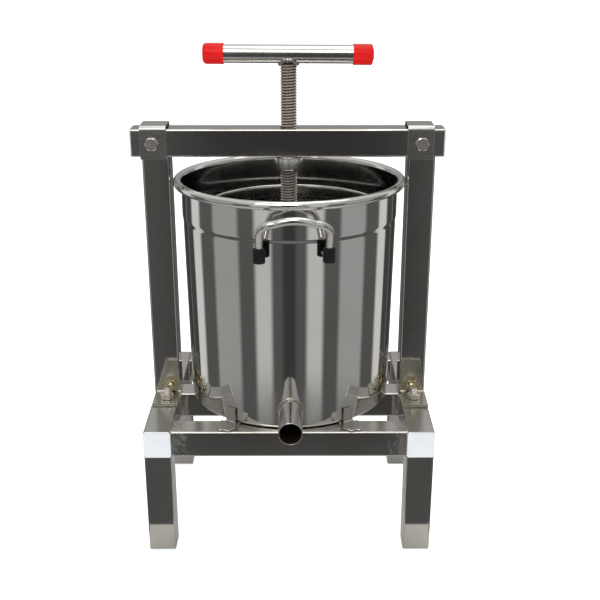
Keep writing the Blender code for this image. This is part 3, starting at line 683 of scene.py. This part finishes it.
def foot_bracket(side):
    """The angle bracket at an upright's foot: a flat foot bent up into a tapered flange."""
    node = "foot_bracket_" + side
    low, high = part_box(node)
    flange = frame["nodes"][node].data.vertices
    top = [v.co.x for v in flange if v.co.z > high.z - 0.001]
    bend = 0.0045
    steps = 8
    path = [(low.y, low.z), *arc((high.y - bend, low.z + bend), bend, -90, 0, steps), (high.y, high.z)]
    points = [Vector((0, y, z)) for y, z in path]
    edges = []
    for point in points:
        share = min(max((point.z - low.z) / (high.z - low.z), 0.0), 1.0)
        edges.append((low.x + share * (min(top) - low.x), high.x + share * (max(top) - high.x)))
    piece = strap("angle_" + node, points, Vector((1, 0, 0)), edges, -0.003)
    return soften(piece, 0.0004)


def build_sheet_parts():
    for side in SIDES:
        show(saddle(side), SHEET_STEEL, "tube_steel", "saddle_" + side)
        show(foot_bracket(side), BRACKET_STEEL, "tube_steel", "foot_bracket_" + side)


# ---------------------------------------------------------------------------
# Bolts, nuts and threads
# ---------------------------------------------------------------------------
def hex_levels(height, chamfer_low, chamfer_high):
    """Rings of a hexagon bar from low to high, its ends turned to a 30 degree cone."""
    face = HEX_FLAT * 0.97
    slope = math.tan(math.radians(30))
    corner = []
    for i in range(HEX_STEPS):
        angle = 2 * math.pi * i / HEX_STEPS
        from_flat = (angle + math.pi / 6) % (math.pi / 3) - math.pi / 6
        radius = HEX_FLAT / math.cos(abs(math.pi / 6 - abs(from_flat)))
        corner.append((angle, radius, (radius - face) * slope))
    low = [(r * math.cos(a), r * math.sin(a), drop if chamfer_low else 0.0) for a, r, drop in corner]
    high = [(r * math.cos(a), r * math.sin(a), height - drop if chamfer_high else height)
            for a, r, drop in corner]
    rings = [low, high]
    if chamfer_low:
        rings.insert(0, [(x, y, 0.0) for x, y in circle(face, HEX_STEPS)])
    if chamfer_high:
        rings.append([(x, y, height) for x, y in circle(face, HEX_STEPS)])
    return rings


def thread(name, radius, depth, pitch, bottom, top, steps=48):
    """A right-hand screw thread about Z with flat crests and roots, run out at both ends."""
    rows = [(0.06, radius - depth), (0.42, radius), (0.58, radius), (0.94, radius - depth)]
    turns = math.ceil((top - bottom) / pitch) + 2
    shape = bmesh.new()
    columns = []
    for i in range(steps):
        angle = 2 * math.pi * i / steps
        column = []
        for turn in range(turns):
            for share, size in rows:
                z = bottom + pitch * (turn - 1 + share + i / steps)
                if z <= bottom or z >= top:
                    size = radius - depth
                    z = min(max(z, bottom), top)
                column.append(shape.verts.new((size * math.cos(angle), size * math.sin(angle), z)))
        columns.append(column)
    for i, column in enumerate(columns):
        following = columns[(i + 1) % steps]
        lift = len(rows) if i == steps - 1 else 0
        for k in range(len(column) - 1 - lift):
            shape.faces.new((column[k], following[k + lift], following[k + 1 + lift], column[k + 1]))
    bmesh.ops.remove_doubles(shape, verts=shape.verts, dist=1e-7)
    bmesh.ops.holes_fill(shape, edges=[edge for edge in shape.edges if edge.is_boundary], sides=0)
    return new_piece(name, shape, 25.0)


def fasten(kind, side, facing, finish):
    """A bolt's head on one side and its nut on the other; facing turns local Z to the head's side."""
    bolt_node = f"{kind}_bolt_{side}"
    nut_node = f"{kind}_nut_{side}"
    along = facing @ Vector((0, 0, 1))
    axis = max(range(3), key=lambda i: abs(along[i]))
    bolt_low, bolt_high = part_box(bolt_node)
    nut_low, nut_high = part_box(nut_node)
    outer = bolt_high if along[axis] > 0 else bolt_low
    tip = bolt_low if along[axis] > 0 else bolt_high
    centre = (bolt_low + bolt_high) / 2
    seat = centre.copy()
    seat[axis] = outer[axis] - along[axis] * HEAD_HEIGHT
    head = loft("head_" + bolt_node, hex_levels(HEAD_HEIGHT, False, True), sharp=20.0)
    show(placed(head, seat, facing), finish, "fastener_steel", bolt_node)
    length = abs(seat[axis] - tip[axis])
    shank = thread("shank_" + bolt_node, BOLT_RADIUS, BOLT_DEPTH, BOLT_PITCH, -length, 0.0, 32)
    show(placed(shank, seat, facing), finish, "fastener_steel", body="root")

    rings = hex_levels(NUT_HEIGHT, True, True)
    for z in (NUT_HEIGHT, 0.0):
        rings.append([(x, y, z) for x, y in circle(NUT_BORE, HEX_STEPS)])
    nut = loft("hex_" + nut_node, rings, loop=True, sharp=20.0)
    seat = (nut_low + nut_high) / 2
    seat[axis] = nut_high[axis] if along[axis] > 0 else nut_low[axis]
    show(placed(nut, seat, facing @ UPSIDE_DOWN), finish, "fastener_steel", nut_node)


def build_fasteners():
    for side in SIDES:
        fasten("saddle", side, AGAINST_Y, FASTENER_STEEL)
        fasten("bracket", side, ALONG_Y, BRASS_STEEL)
        fasten("foot", side, UPSIDE_DOWN, FASTENER_STEEL)


# ---------------------------------------------------------------------------
# Screw, bar and press plate
# ---------------------------------------------------------------------------
def weld_ring(name, radius, bead, centre, steps=96):
    """A hand-laid weld bead round a vertical rod or boss."""
    points = []
    radii = []
    for i in range(steps):
        angle = 2 * math.pi * i / steps
        points.append(Vector((radius * math.cos(angle), radius * math.sin(angle), 0)) + Vector(centre))
        radii.append(bead * (1 + 0.12 * math.sin(angle * 22) + 0.15 * math.sin(angle * 3 + 1)))
    return wire(name, points, radii, sides=10, loop=True, sharp=60.0)


def build_screw():
    low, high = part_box("screw")
    bar_low, bar_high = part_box("handle_bar")
    bar_radius = (bar_high.y - bar_low.y) / 2
    bar_z = (bar_low.z + bar_high.z) / 2
    radius = (high.y - low.y) / 2
    top = bar_z - bar_radius + 0.0008
    screw = thread("screw_thread", radius, SCREW_DEPTH, SCREW_PITCH, low.z, top)
    show(placed(screw, SCREW_AXIS), THREAD_STEEL, "thread_steel", "screw")

    tilt = Matrix.Rotation(math.radians(90) + BAR_TILT, 4, "Y")
    half = (bar_high.x - bar_low.x) / 2
    wall = 0.0015
    bar = turned("bar_tube", [(bar_radius, half), (bar_radius, -half), (bar_radius - wall, -half),
                              (bar_radius - wall, half)])
    bar_centre = Vector((0, SCREW_AXIS.y, bar_z))
    show(placed(bar, bar_centre, tilt), TURNED_STEEL, "polished_steel", "handle_bar")

    weld = saddle_weld("bar_weld", radius, bar_radius, bar_z)
    show(weld, WELD_STEEL, "thread_steel", body="screw")
    for side, sign in SIDES.items():
        node = "handle_cap_" + side
        show(grip_cap(node, side, sign), RED_VINYL, "red_vinyl", node)

    hub_low, hub_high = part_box("plate_hub")
    plate_low, plate_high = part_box("press_plate")
    hub_radius = (hub_high.x - hub_low.x) / 2
    hub_height = hub_high.z - hub_low.z
    chamfer = 0.001
    bore = radius + 0.0003
    hub = turned("hub_collar", [
        (hub_radius - chamfer, hub_height), (hub_radius, hub_height - chamfer), (hub_radius, 0),
        (bore, 0), (bore, hub_height - chamfer), (bore + chamfer / 2, hub_height),
    ])
    hub_place = Vector((SCREW_AXIS.x, SCREW_AXIS.y, hub_low.z))
    show(placed(hub, hub_place), TURNED_STEEL, "polished_steel", "plate_hub")
    ring = weld_ring("hub_weld", hub_radius + 0.0004, 0.0018, hub_place)
    show(ring, WELD_STEEL, "polished_steel", body="press_plate")

    size = (plate_high.x - plate_low.x) / 2
    thick = plate_high.z - plate_low.z
    edge = thick / 4
    outer = [(size - edge + r, z) for r, z in arc((0, thick - edge), edge, 90, 0, 4)]
    under = [(size - edge + r, z) for r, z in arc((0, edge), edge, 0, -90, 4)]
    disc = turned("press_disc", [(0, thick), *outer, *under, (0, 0)], 192)
    show(placed(disc, (SCREW_AXIS.x, SCREW_AXIS.y, plate_low.z)), TURNED_STEEL,
         "polished_steel", "press_plate")

    boss_low, boss_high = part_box("screw_nut")
    boss_radius = (boss_high.x - boss_low.x) / 2
    boss_height = boss_high.z - boss_low.z
    boss = turned("nut_boss", [
        (boss_radius, boss_height), (boss_radius, chamfer), (boss_radius - chamfer, 0),
        (bore + chamfer, 0), (bore, chamfer), (bore, boss_height),
    ])
    boss_place = Vector((SCREW_AXIS.x, SCREW_AXIS.y, boss_low.z))
    show(placed(boss, boss_place), TURNED_STEEL, "polished_steel", "screw_nut")
    ring_place = boss_place + Vector((0, 0, boss_height - 0.0009))
    ring = weld_ring("boss_weld", boss_radius - 0.0004, 0.0011, ring_place)
    show(ring, WELD_STEEL, "polished_steel", body="root")


def saddle_weld(name, rod, bar, bar_z, steps=72):
    """The weld where the screw's end meets the bar, following both round shapes."""
    points = []
    radii = []
    for i in range(steps):
        angle = 2 * math.pi * i / steps
        x = (rod + 0.0002) * math.cos(angle)
        y = (rod + 0.0002) * math.sin(angle)
        drop = math.sqrt(max(bar ** 2 - min(abs(y), bar * 0.86) ** 2, 0.0))
        points.append(Vector((x, SCREW_AXIS.y + y, bar_z - drop - 0.0006)))
        radii.append(0.0019 * (1 + 0.15 * math.sin(angle * 14) + 0.12 * math.sin(angle * 3)))
    return wire(name, points, radii, sides=12, loop=True, sharp=60.0)


def grip_cap(node, side, sign):
    """A push-on vinyl cap: the left one has a rounded end, the right one a shallow cone."""
    low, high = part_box(node)
    radius = (high.y - low.y) / 2
    length = high.x - low.x
    bore = radius - 0.00105
    lip = 0.0004
    if side == "left":
        end = arc((radius - 0.0042, length - 0.0042), 0.0042, 90, 0, 10)
    else:
        end = [(radius * 0.45, length - 0.0004),
               *arc((radius - 0.0020, length - 0.0038), 0.0020, 75, 0, 8)]
    profile = [
        (0, length), *end, (radius, 0.0022), (radius + lip * 0.6, 0.0012),
        (radius + lip * 0.6, 0.0004), (radius, 0), (bore, 0), (bore, length - 0.0018), (0, length - 0.0018),
    ]
    cap = turned("cap_" + node, profile, sharp=50.0)
    turn = Matrix.Rotation(math.radians(90) * sign + BAR_TILT, 4, "Y")
    mouth = Vector((high.x if sign < 0 else low.x, SCREW_AXIS.y, (low.z + high.z) / 2))
    return placed(cap, mouth, turn)


# ---------------------------------------------------------------------------
# Pot, spout and basket
# ---------------------------------------------------------------------------
def smooth_step(start, end, z_start, z_end, steps=8):
    """A wall that eases from one radius to another."""
    points = []
    for i in range(steps + 1):
        t = i / steps
        share = t * t * (3 - 2 * t)
        points.append((start + (end - start) * share, z_start + (z_end - z_start) * t))
    return points


def pot_profile():
    """Half the pot's section: floor, inner wall, rolled rim, outer wall and base."""
    low, high = POT_LOW.z, POT_HIGH.z
    corner = (POT_BASE_RADIUS - POT_CORNER, low + POT_CORNER)
    step_low = POT_STEP_Z - POT_STEP_HEIGHT / 2
    step_high = POT_STEP_Z + POT_STEP_HEIGHT / 2
    rim_outer = (POT_HIGH.x - POT_LOW.x) / 2
    roll = (rim_outer - RIM_ROLL_RADIUS, high - RIM_ROLL_RADIUS)
    inner_step = smooth_step(POT_STEP_RADIUS - POT_WALL, POT_UPPER_RADIUS - POT_WALL, step_low, step_high)
    outer_step = smooth_step(POT_UPPER_RADIUS, POT_STEP_RADIUS, step_high, step_low)
    rows = 14
    first, last = corner[1] + 0.0008, step_low - 0.0008
    levels = [first + (last - first) * i / rows for i in range(rows + 1)]
    wall = [(pot_radius(z), z) for z in levels]
    return [
        (0, low + POT_WALL),
        *arc(corner, POT_CORNER - POT_WALL, -90, 0, 8),
        *[(r - POT_WALL, z) for r, z in wall],
        *inner_step,
        (POT_UPPER_RADIUS - POT_WALL, step_high + 0.0008),
        (POT_UPPER_RADIUS - POT_WALL, high - 1.3 * RIM_ROLL_RADIUS),
        *arc(roll, RIM_ROLL_RADIUS, 172, -110, 28),
        (POT_UPPER_RADIUS, high - 0.0100),
        (POT_UPPER_RADIUS, step_high + 0.0008),
        *outer_step,
        *wall[::-1],
        *arc(corner, POT_CORNER, 0, -90, 8),
        (0, low),
    ]


def build_pot():
    pot = turned("pot_shell", pot_profile(), POT_STEPS, sharp=40.0)
    placed(pot, POT_CENTRE)
    low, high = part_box("spout")
    centre = (low + high) / 2
    outer = (high.x - low.x) / 2
    inner = outer - SPOUT_WALL
    hole = turned("hole", [(0, -0.03), (inner, -0.03), (inner, 0.03), (0, 0.03)])
    wall_y = on_pot(0, centre.z).y
    combine(pot, placed(hole, (centre.x, wall_y, centre.z), ALONG_Y), "DIFFERENCE")
    show(pot, POT_STEEL, "polished_steel", "pot")

    steps = 96
    lip = 0.0003
    rings = []
    bead = []
    bead_radii = []
    for i in range(steps):
        angle = 2 * math.pi * i / steps
        across, up = math.cos(angle), math.sin(angle)

        def wall_at(radius):
            x = centre.x + radius * across
            z = centre.z + radius * up
            reach = math.sqrt(pot_radius(z) ** 2 - (x - POT_CENTRE.x) ** 2)
            return Vector((x, POT_CENTRE.y - reach, z))

        def front_at(radius, y):
            return Vector((centre.x + radius * across, y, centre.z + radius * up))

        rings.append([
            wall_at(inner), front_at(inner, low.y + lip), front_at(inner + lip, low.y),
            front_at(outer - lip, low.y), front_at(outer, low.y + lip), wall_at(outer),
        ])
        bead.append(wall_at(outer + 0.0005) + Vector((0, -0.0004, 0)))
        bead_radii.append(0.0016 * (1 + 0.10 * math.sin(angle * 24) + 0.10 * math.sin(angle * 3 + 2)))
    spout = loft("spout_pipe", rings, loop=True)
    show(spout, SPOUT_STEEL, "polished_steel", "spout")
    weld = wire("spout_weld", bead, bead_radii, sides=12, loop=True, sharp=60.0)
    show(weld, WELD_STEEL, "polished_steel", body="root")


def perforated_wall(name, radius, z_low, z_high):
    """A cylinder wall of staggered holes, built from six-sided cells with a hole in each."""
    columns = round(2 * math.pi * radius / HOLE_PITCH)
    pitch = 2 * math.pi * radius / columns
    row_height = pitch * math.sqrt(3) / 2
    rows = int((z_high - z_low) / row_height)
    row_height = (z_high - z_low) / rows
    cell = pitch / math.sqrt(3)
    shape = bmesh.new()

    def bent(along, z, depth):
        angle = along / radius
        size = radius - depth
        return (size * math.cos(angle), size * math.sin(angle), min(max(z, z_low), z_high))

    for row in range(rows):
        z = z_low + (row + 0.5) * row_height
        for column in range(columns):
            along = (column + 0.5 * (row % 2)) * pitch
            corners, mouths = [], []
            for depth in (0.0, BASKET_WALL):
                for store, size in ((corners, cell), (mouths, HOLE_RADIUS)):
                    for k in range(6):
                        angle = math.radians(30 + 60 * k)
                        lift = size * math.sin(angle)
                        if store is corners:
                            if row == 0 and lift < 0:
                                lift = -row_height
                            if row == rows - 1 and lift > 0:
                                lift = row_height
                        store.append(shape.verts.new(bent(along + size * math.cos(angle), z + lift, depth)))
            for k in range(6):
                j = (k + 1) % 6
                shape.faces.new((corners[k], corners[j], mouths[j], mouths[k]))
                shape.faces.new((corners[k + 6], mouths[k + 6], mouths[j + 6], corners[j + 6]))
                shape.faces.new((mouths[k], mouths[j], mouths[j + 6], mouths[k + 6]))
    bmesh.ops.remove_doubles(shape, verts=shape.verts, dist=2e-5)
    return new_piece(name, shape, 50.0)


def build_basket():
    low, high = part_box("basket")
    centre = Vector(((low.x + high.x) / 2, (low.y + high.y) / 2, 0))
    radius = (high.x - low.x) / 2 - BASKET_RIM_RADIUS - 0.0007
    low_edge = low.z + BASKET_LOW_BAND
    top_edge = high.z - BASKET_TOP_BAND
    wall = perforated_wall("basket_wall", radius, low_edge, top_edge)
    show(placed(wall, centre), SHADED_BASKET_STEEL, "polished_steel", "basket")

    overlap = 0.0015
    skin = 0.0001
    outer = radius + skin
    inner = radius - BASKET_WALL - skin
    rim = arc((radius + 0.0007, high.z - BASKET_RIM_RADIUS), BASKET_RIM_RADIUS, 160, -110, 16)
    band = turned("basket_rim", [
        (inner, top_edge - overlap), (inner, high.z - 0.003), *rim,
        (outer, high.z - 0.003), (outer, top_edge - overlap),
    ], 192)
    show(placed(band, centre), TURNED_STEEL, "polished_steel", body="root")
    floor_z = low.z + 0.006
    skirt = turned("basket_floor", [
        (0, floor_z + BASKET_WALL), (inner, floor_z + BASKET_WALL), (inner, low_edge + overlap),
        (outer, low_edge + overlap), (outer, low.z), (inner, low.z), (inner, floor_z), (0, floor_z),
    ], 192)
    show(placed(skirt, centre), SHADED_BASKET_STEEL, "polished_steel", body="root")


# ---------------------------------------------------------------------------
# Wire handles and their sleeves
# ---------------------------------------------------------------------------
def handle_path():
    """From one weld on the wall over the bar to the other, in the pot's frame with -Y outwards."""
    span = HANDLE_HALF_SPAN
    half = [Vector((span, -pot_radius(HANDLE_WELD_Z), HANDLE_WELD_Z))]
    bend_centre = (-HANDLE_LEG_REACH + HANDLE_BEND, HANDLE_WELD_Z + HANDLE_BEND)
    for y, z in arc(bend_centre, HANDLE_BEND, -90, -180, 12):
        half.append(Vector((span, y, z)))
    leg_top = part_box("handle_sleeve_front_left")[1].z
    straight = HANDLE_LEAN_LENGTH - HANDLE_CORNER
    leaning = [(span, 0.002), (span, 0.005)]
    leaning += arc((span - HANDLE_CORNER, straight), HANDLE_CORNER, 0, 80, 16)
    steps = 16
    for i in range(1, steps + 1):
        fraction = 1 - i / steps
        rise = HANDLE_ARCH * (1 - fraction ** 2)
        leaning.append((fraction * (span - HANDLE_CORNER), HANDLE_LEAN_LENGTH + rise))
    for x, along in leaning:
        out = along * math.sin(HANDLE_LEAN)
        half.append(Vector((x, -HANDLE_LEG_REACH - out, leg_top + along * math.cos(HANDLE_LEAN))))
    return half + [Vector((-p.x, p.y, p.z)) for p in half[-2::-1]]


def sleeve(node):
    """A black sleeve on the wire's leg, its ends rounded over."""
    low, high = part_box(node)
    radius = (high.x - low.x) / 2
    length = high.z - low.z
    edge = 0.0011
    bore = HANDLE_WIRE_RADIUS + 0.0001
    profile = [
        *arc((radius - edge, length - edge), edge, 90, 0, 6),
        *arc((radius - edge, edge), edge, 0, -90, 6),
        (bore, 0), (bore, length),
    ]
    piece = turned("grip_" + node, profile, 48)
    return placed(piece, ((low.x + high.x) / 2, (low.y + high.y) / 2, low.z))


def build_handles():
    path = handle_path()
    for row, facing in (("front", 0.0), ("rear", math.pi)):
        node = "pot_handle_" + row
        turn = Matrix.Rotation(HANDLE_TURN + facing, 4, "Z")
        bar = wire("wire_" + node, path, [HANDLE_WIRE_RADIUS] * len(path), sides=28, sharp=60.0)
        show(placed(bar, POT_CENTRE, turn), TURNED_STEEL, "polished_steel", node)
        for side in SIDES:
            sleeve_node = f"handle_sleeve_{row}_{side}"
            show(sleeve(sleeve_node), BLACK_SILICONE, "black_silicone", sleeve_node)


# ---------------------------------------------------------------------------
# Clips that locate the pot
# ---------------------------------------------------------------------------
def tack(name, place, size):
    """A small lumpy tack weld."""
    shape = bmesh.new()
    bmesh.ops.create_icosphere(shape, subdivisions=3, radius=1.0)
    for vert in shape.verts:
        lump = 1 + 0.22 * noise.noise(vert.co * 2.3 + Vector(place) * 90)
        vert.co = Vector((vert.co.x * size[0], vert.co.y * size[1], vert.co.z * size[2])) * lump
    piece = placed(new_piece(name, shape, 60.0), place)
    show(piece, WELD_STEEL, "tube_steel", body="root")


def build_clips():
    bend = 0.003
    steps = 8
    for row in ROWS:
        facing = 0.0 if row == "front" else math.pi
        for side, sign in SIDES.items():
            node = f"pot_clip_{row}_{side}"
            low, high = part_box(node)
            hand = sign if row == "front" else -sign
            azimuth = hand * CLIP_AZIMUTH[row] + facing
            foot_turn = hand * (CLIP_AZIMUTH[row] - CLIP_TAB_SKEW) + facing
            height = high.z - low.z
            back = CLIP_THICKNESS / 2
            path = [Vector((0, back, height))]
            for y, z in arc((back - bend, bend), bend, 0, -90, steps):
                path.append(Vector((0, y, z)))
            path.append(Vector((0, -0.008, 0)))
            edges = [(-CLIP_PLATE_WIDTH / 2, CLIP_PLATE_WIDTH / 2)] * len(path)
            riser = strap("clip_" + node, path, Vector((1, 0, 0)), edges, CLIP_THICKNESS)
            straight = CLIP_TAB_LENGTH - CLIP_TAB_RADIUS
            outline = [(CLIP_TAB_RADIUS, -0.0015), (-CLIP_TAB_RADIUS, -0.0015),
                       *arc((0, -straight), CLIP_TAB_RADIUS, 180, 360, 24)]
            tab = plate("tab", outline, CLIP_THICKNESS)
            place = on_pot(azimuth, high.z, 0.0006 + back)
            place.z = low.z
            placed(riser, place, Matrix.Rotation(azimuth, 4, "Z"))
            placed(tab, place, Matrix.Rotation(foot_turn, 4, "Z"))
            combine(riser, tab, "UNION")
            show(riser, SHEET_STEEL, "tube_steel", node)
            turn = Matrix.Rotation(foot_turn, 3, "Z")
            tip = place + turn @ Vector((0, -CLIP_TAB_LENGTH, CLIP_THICKNESS / 2))
            for i, shift in enumerate((-0.004, 0.0045)):
                spot = tip + turn @ Vector((shift, 0.0004 + abs(shift) * 0.1, 0))
                tack(f"tack_{row}_{side}_{i}", spot, (0.0030, 0.0017, 0.0012))


# ---------------------------------------------------------------------------
# Studio
# ---------------------------------------------------------------------------
CAMERA_PLACE = (0.0084, -1.0862, 0.6422)
CAMERA_DOWN = 21.58              # degrees below the level
CAMERA_YAW = -0.11
CAMERA_LENS = 60.14
CAMERA_SENSOR = 36.0
CAMERA_SHIFT = (0.0027, 0.0688)


def add_camera():
    data = bpy.data.cameras.new("camera")
    data.lens = CAMERA_LENS
    data.sensor_width = CAMERA_SENSOR
    data.shift_x, data.shift_y = CAMERA_SHIFT
    camera = bpy.data.objects.new("camera", data)
    camera.location = CAMERA_PLACE
    camera.rotation_euler = (math.radians(90 - CAMERA_DOWN), 0, math.radians(CAMERA_YAW))
    bpy.context.scene.collection.objects.link(camera)
    bpy.context.scene.camera = camera


# Plain softboxes in a grey studio, the same on both sides, as glossy steel mirrors them. Azimuth 0
# is straight in front, and elevation is above the level. Both are in degrees.
# (azimuth to either side, half width, brightness)
SOFTBOXES = [(0, 7, 0.05), (28, 9, 0.62), (72, 16, 0.40), (118, 8, 0.75)]
SOFTBOX_EDGE = 3.0
SOFTBOX_BOTTOM = -27
SOFTBOX_TOP = 38
STUDIO = [(-90, 0.60), (-46, 0.50), (-34, 0.10), (-10, 0.12), (10, 0.34), (44, 0.72), (90, 0.85)]


def add_world():
    """White for the camera, soft white light, and a plain studio for glossy steel to mirror."""
    world = bpy.data.worlds.new("studio")
    bpy.context.scene.world = world
    world.use_nodes = True
    world.cycles.sampling_method = "NONE"
    graph = Graph(world.node_tree)
    output = world.node_tree.nodes["World Output"]
    direction = graph.add("ShaderNodeTexCoord").outputs["Generated"]
    parts = graph.add("ShaderNodeSeparateXYZ", {0: direction}).outputs
    to_degrees = math.degrees(1)
    ahead = graph.math("MULTIPLY", parts[1], -1.0)
    azimuth = graph.math("MULTIPLY", graph.math("ARCTAN2", parts[0], ahead), to_degrees)
    to_the_side = graph.math("ABSOLUTE", azimuth)
    elevation = graph.math("MULTIPLY", graph.math("ARCSINE", parts[2]), to_degrees)
    stops = [((height + 90) / 180, brightness) for height, brightness in STUDIO]
    room = graph.ramp(graph.remap(elevation, -90, 90), stops)
    edge = SOFTBOX_EDGE
    over_bottom = graph.remap(elevation, SOFTBOX_BOTTOM - edge, SOFTBOX_BOTTOM + edge, smooth=True)
    under_top = graph.remap(elevation, SOFTBOX_TOP - edge, SOFTBOX_TOP + edge, 1.0, 0.0, smooth=True)
    tall = graph.math("MULTIPLY", over_bottom, under_top)
    for side, half_width, brightness in SOFTBOXES:
        across = graph.math("ABSOLUTE", graph.math("SUBTRACT", to_the_side, side))
        wide = graph.remap(across, half_width - edge, half_width + edge, 1.0, 0.0, smooth=True)
        room = graph.blend(graph.math("MULTIPLY", wide, tall), room, rgba(brightness))
    rays = graph.add("ShaderNodeLightPath").outputs
    soft = graph.blend(rays["Is Glossy Ray"], rgba((0.95, 0.96, 0.98)), room)
    seen = graph.blend(rays["Is Camera Ray"], soft, rgba(1.0))
    background = graph.add("ShaderNodeBackground", {"Color": seen})
    world.node_tree.links.new(background.outputs[0], output.inputs[0])


def add_light(name, place, aim, size, power, colour=(1, 1, 1)):
    data = bpy.data.lights.new(name, "AREA")
    data.shape = "RECTANGLE"
    data.size, data.size_y = size
    data.energy = power
    data.color = colour
    light = bpy.data.objects.new(name, data)
    light.location = place
    light.rotation_euler = (Vector(aim) - Vector(place)).to_track_quat("-Z", "Y").to_euler()
    bpy.context.scene.collection.objects.link(light)


def pale_board(name, low, high, z, colour, glow):
    """A flat pale board of the studio floor, which glows a little if glow is above 0."""
    shape = bmesh.new()
    corners = [(low[0], low[1], z), (high[0], low[1], z), (high[0], high[1], z), (low[0], high[1], z)]
    shape.faces.new([shape.verts.new(corner) for corner in corners])
    board = new_piece(name, shape)
    material, graph, shader = new_material(
        name, Roughness=0.9, Emission_Color=rgba(1.0), Emission_Strength=glow)
    clouds = graph.noise(graph.position(), 3.0)
    drive(graph, shader, Base_Color=graph.blend(clouds, rgba(colour, 0.985), rgba(colour)))
    board.data.materials.append(material)
    return board


FLOOR_COLOUR = (0.93, 0.93, 0.93)
FLOOR_GLOW = 0.62
BOARD_COLOUR = (0.62, 0.61, 0.58)
BOARD_MARGIN = 0.055             # the board past the legs in front, and past the press behind
BOARD_SIDE_MARGIN = 0.02


def build_studio():
    """The floor, a small board that only glossy steel sees in its place, and two soft lights."""
    floor = pale_board("floor", (-4, -4), (4, 6), -0.0002, FLOOR_COLOUR, FLOOR_GLOW)
    floor.visible_glossy = False
    low, high = cad_box
    near = (low[0] - BOARD_SIDE_MARGIN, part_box("leg_front_left")[0].y - BOARD_MARGIN)
    far = (high[0] + BOARD_SIDE_MARGIN, high[1] + BOARD_MARGIN)
    mirrored = pale_board("mirrored_board", near, far, -0.0001, BOARD_COLOUR, 0.0)
    mirrored.visible_camera = False
    mirrored.visible_diffuse = False
    mirrored.visible_shadow = False
    add_light("key", (-0.3, -1.3, 1.7), (0, 0, 0.35), (1.2, 0.8), 9.0, (1.0, 0.98, 0.95))
    add_light("top", (0.2, 0.2, 1.9), (0, 0, 0.3), (1.0, 1.0), 6.0)


# ---------------------------------------------------------------------------
# The whole press
# ---------------------------------------------------------------------------
build_tubes()
build_tube_welds()
build_sheet_parts()
build_fasteners()
build_screw()
build_pot()
build_basket()
build_handles()
build_clips()
build_studio()
add_world()
add_camera()
bpy.context.scene.view_settings.view_transform = "Standard"
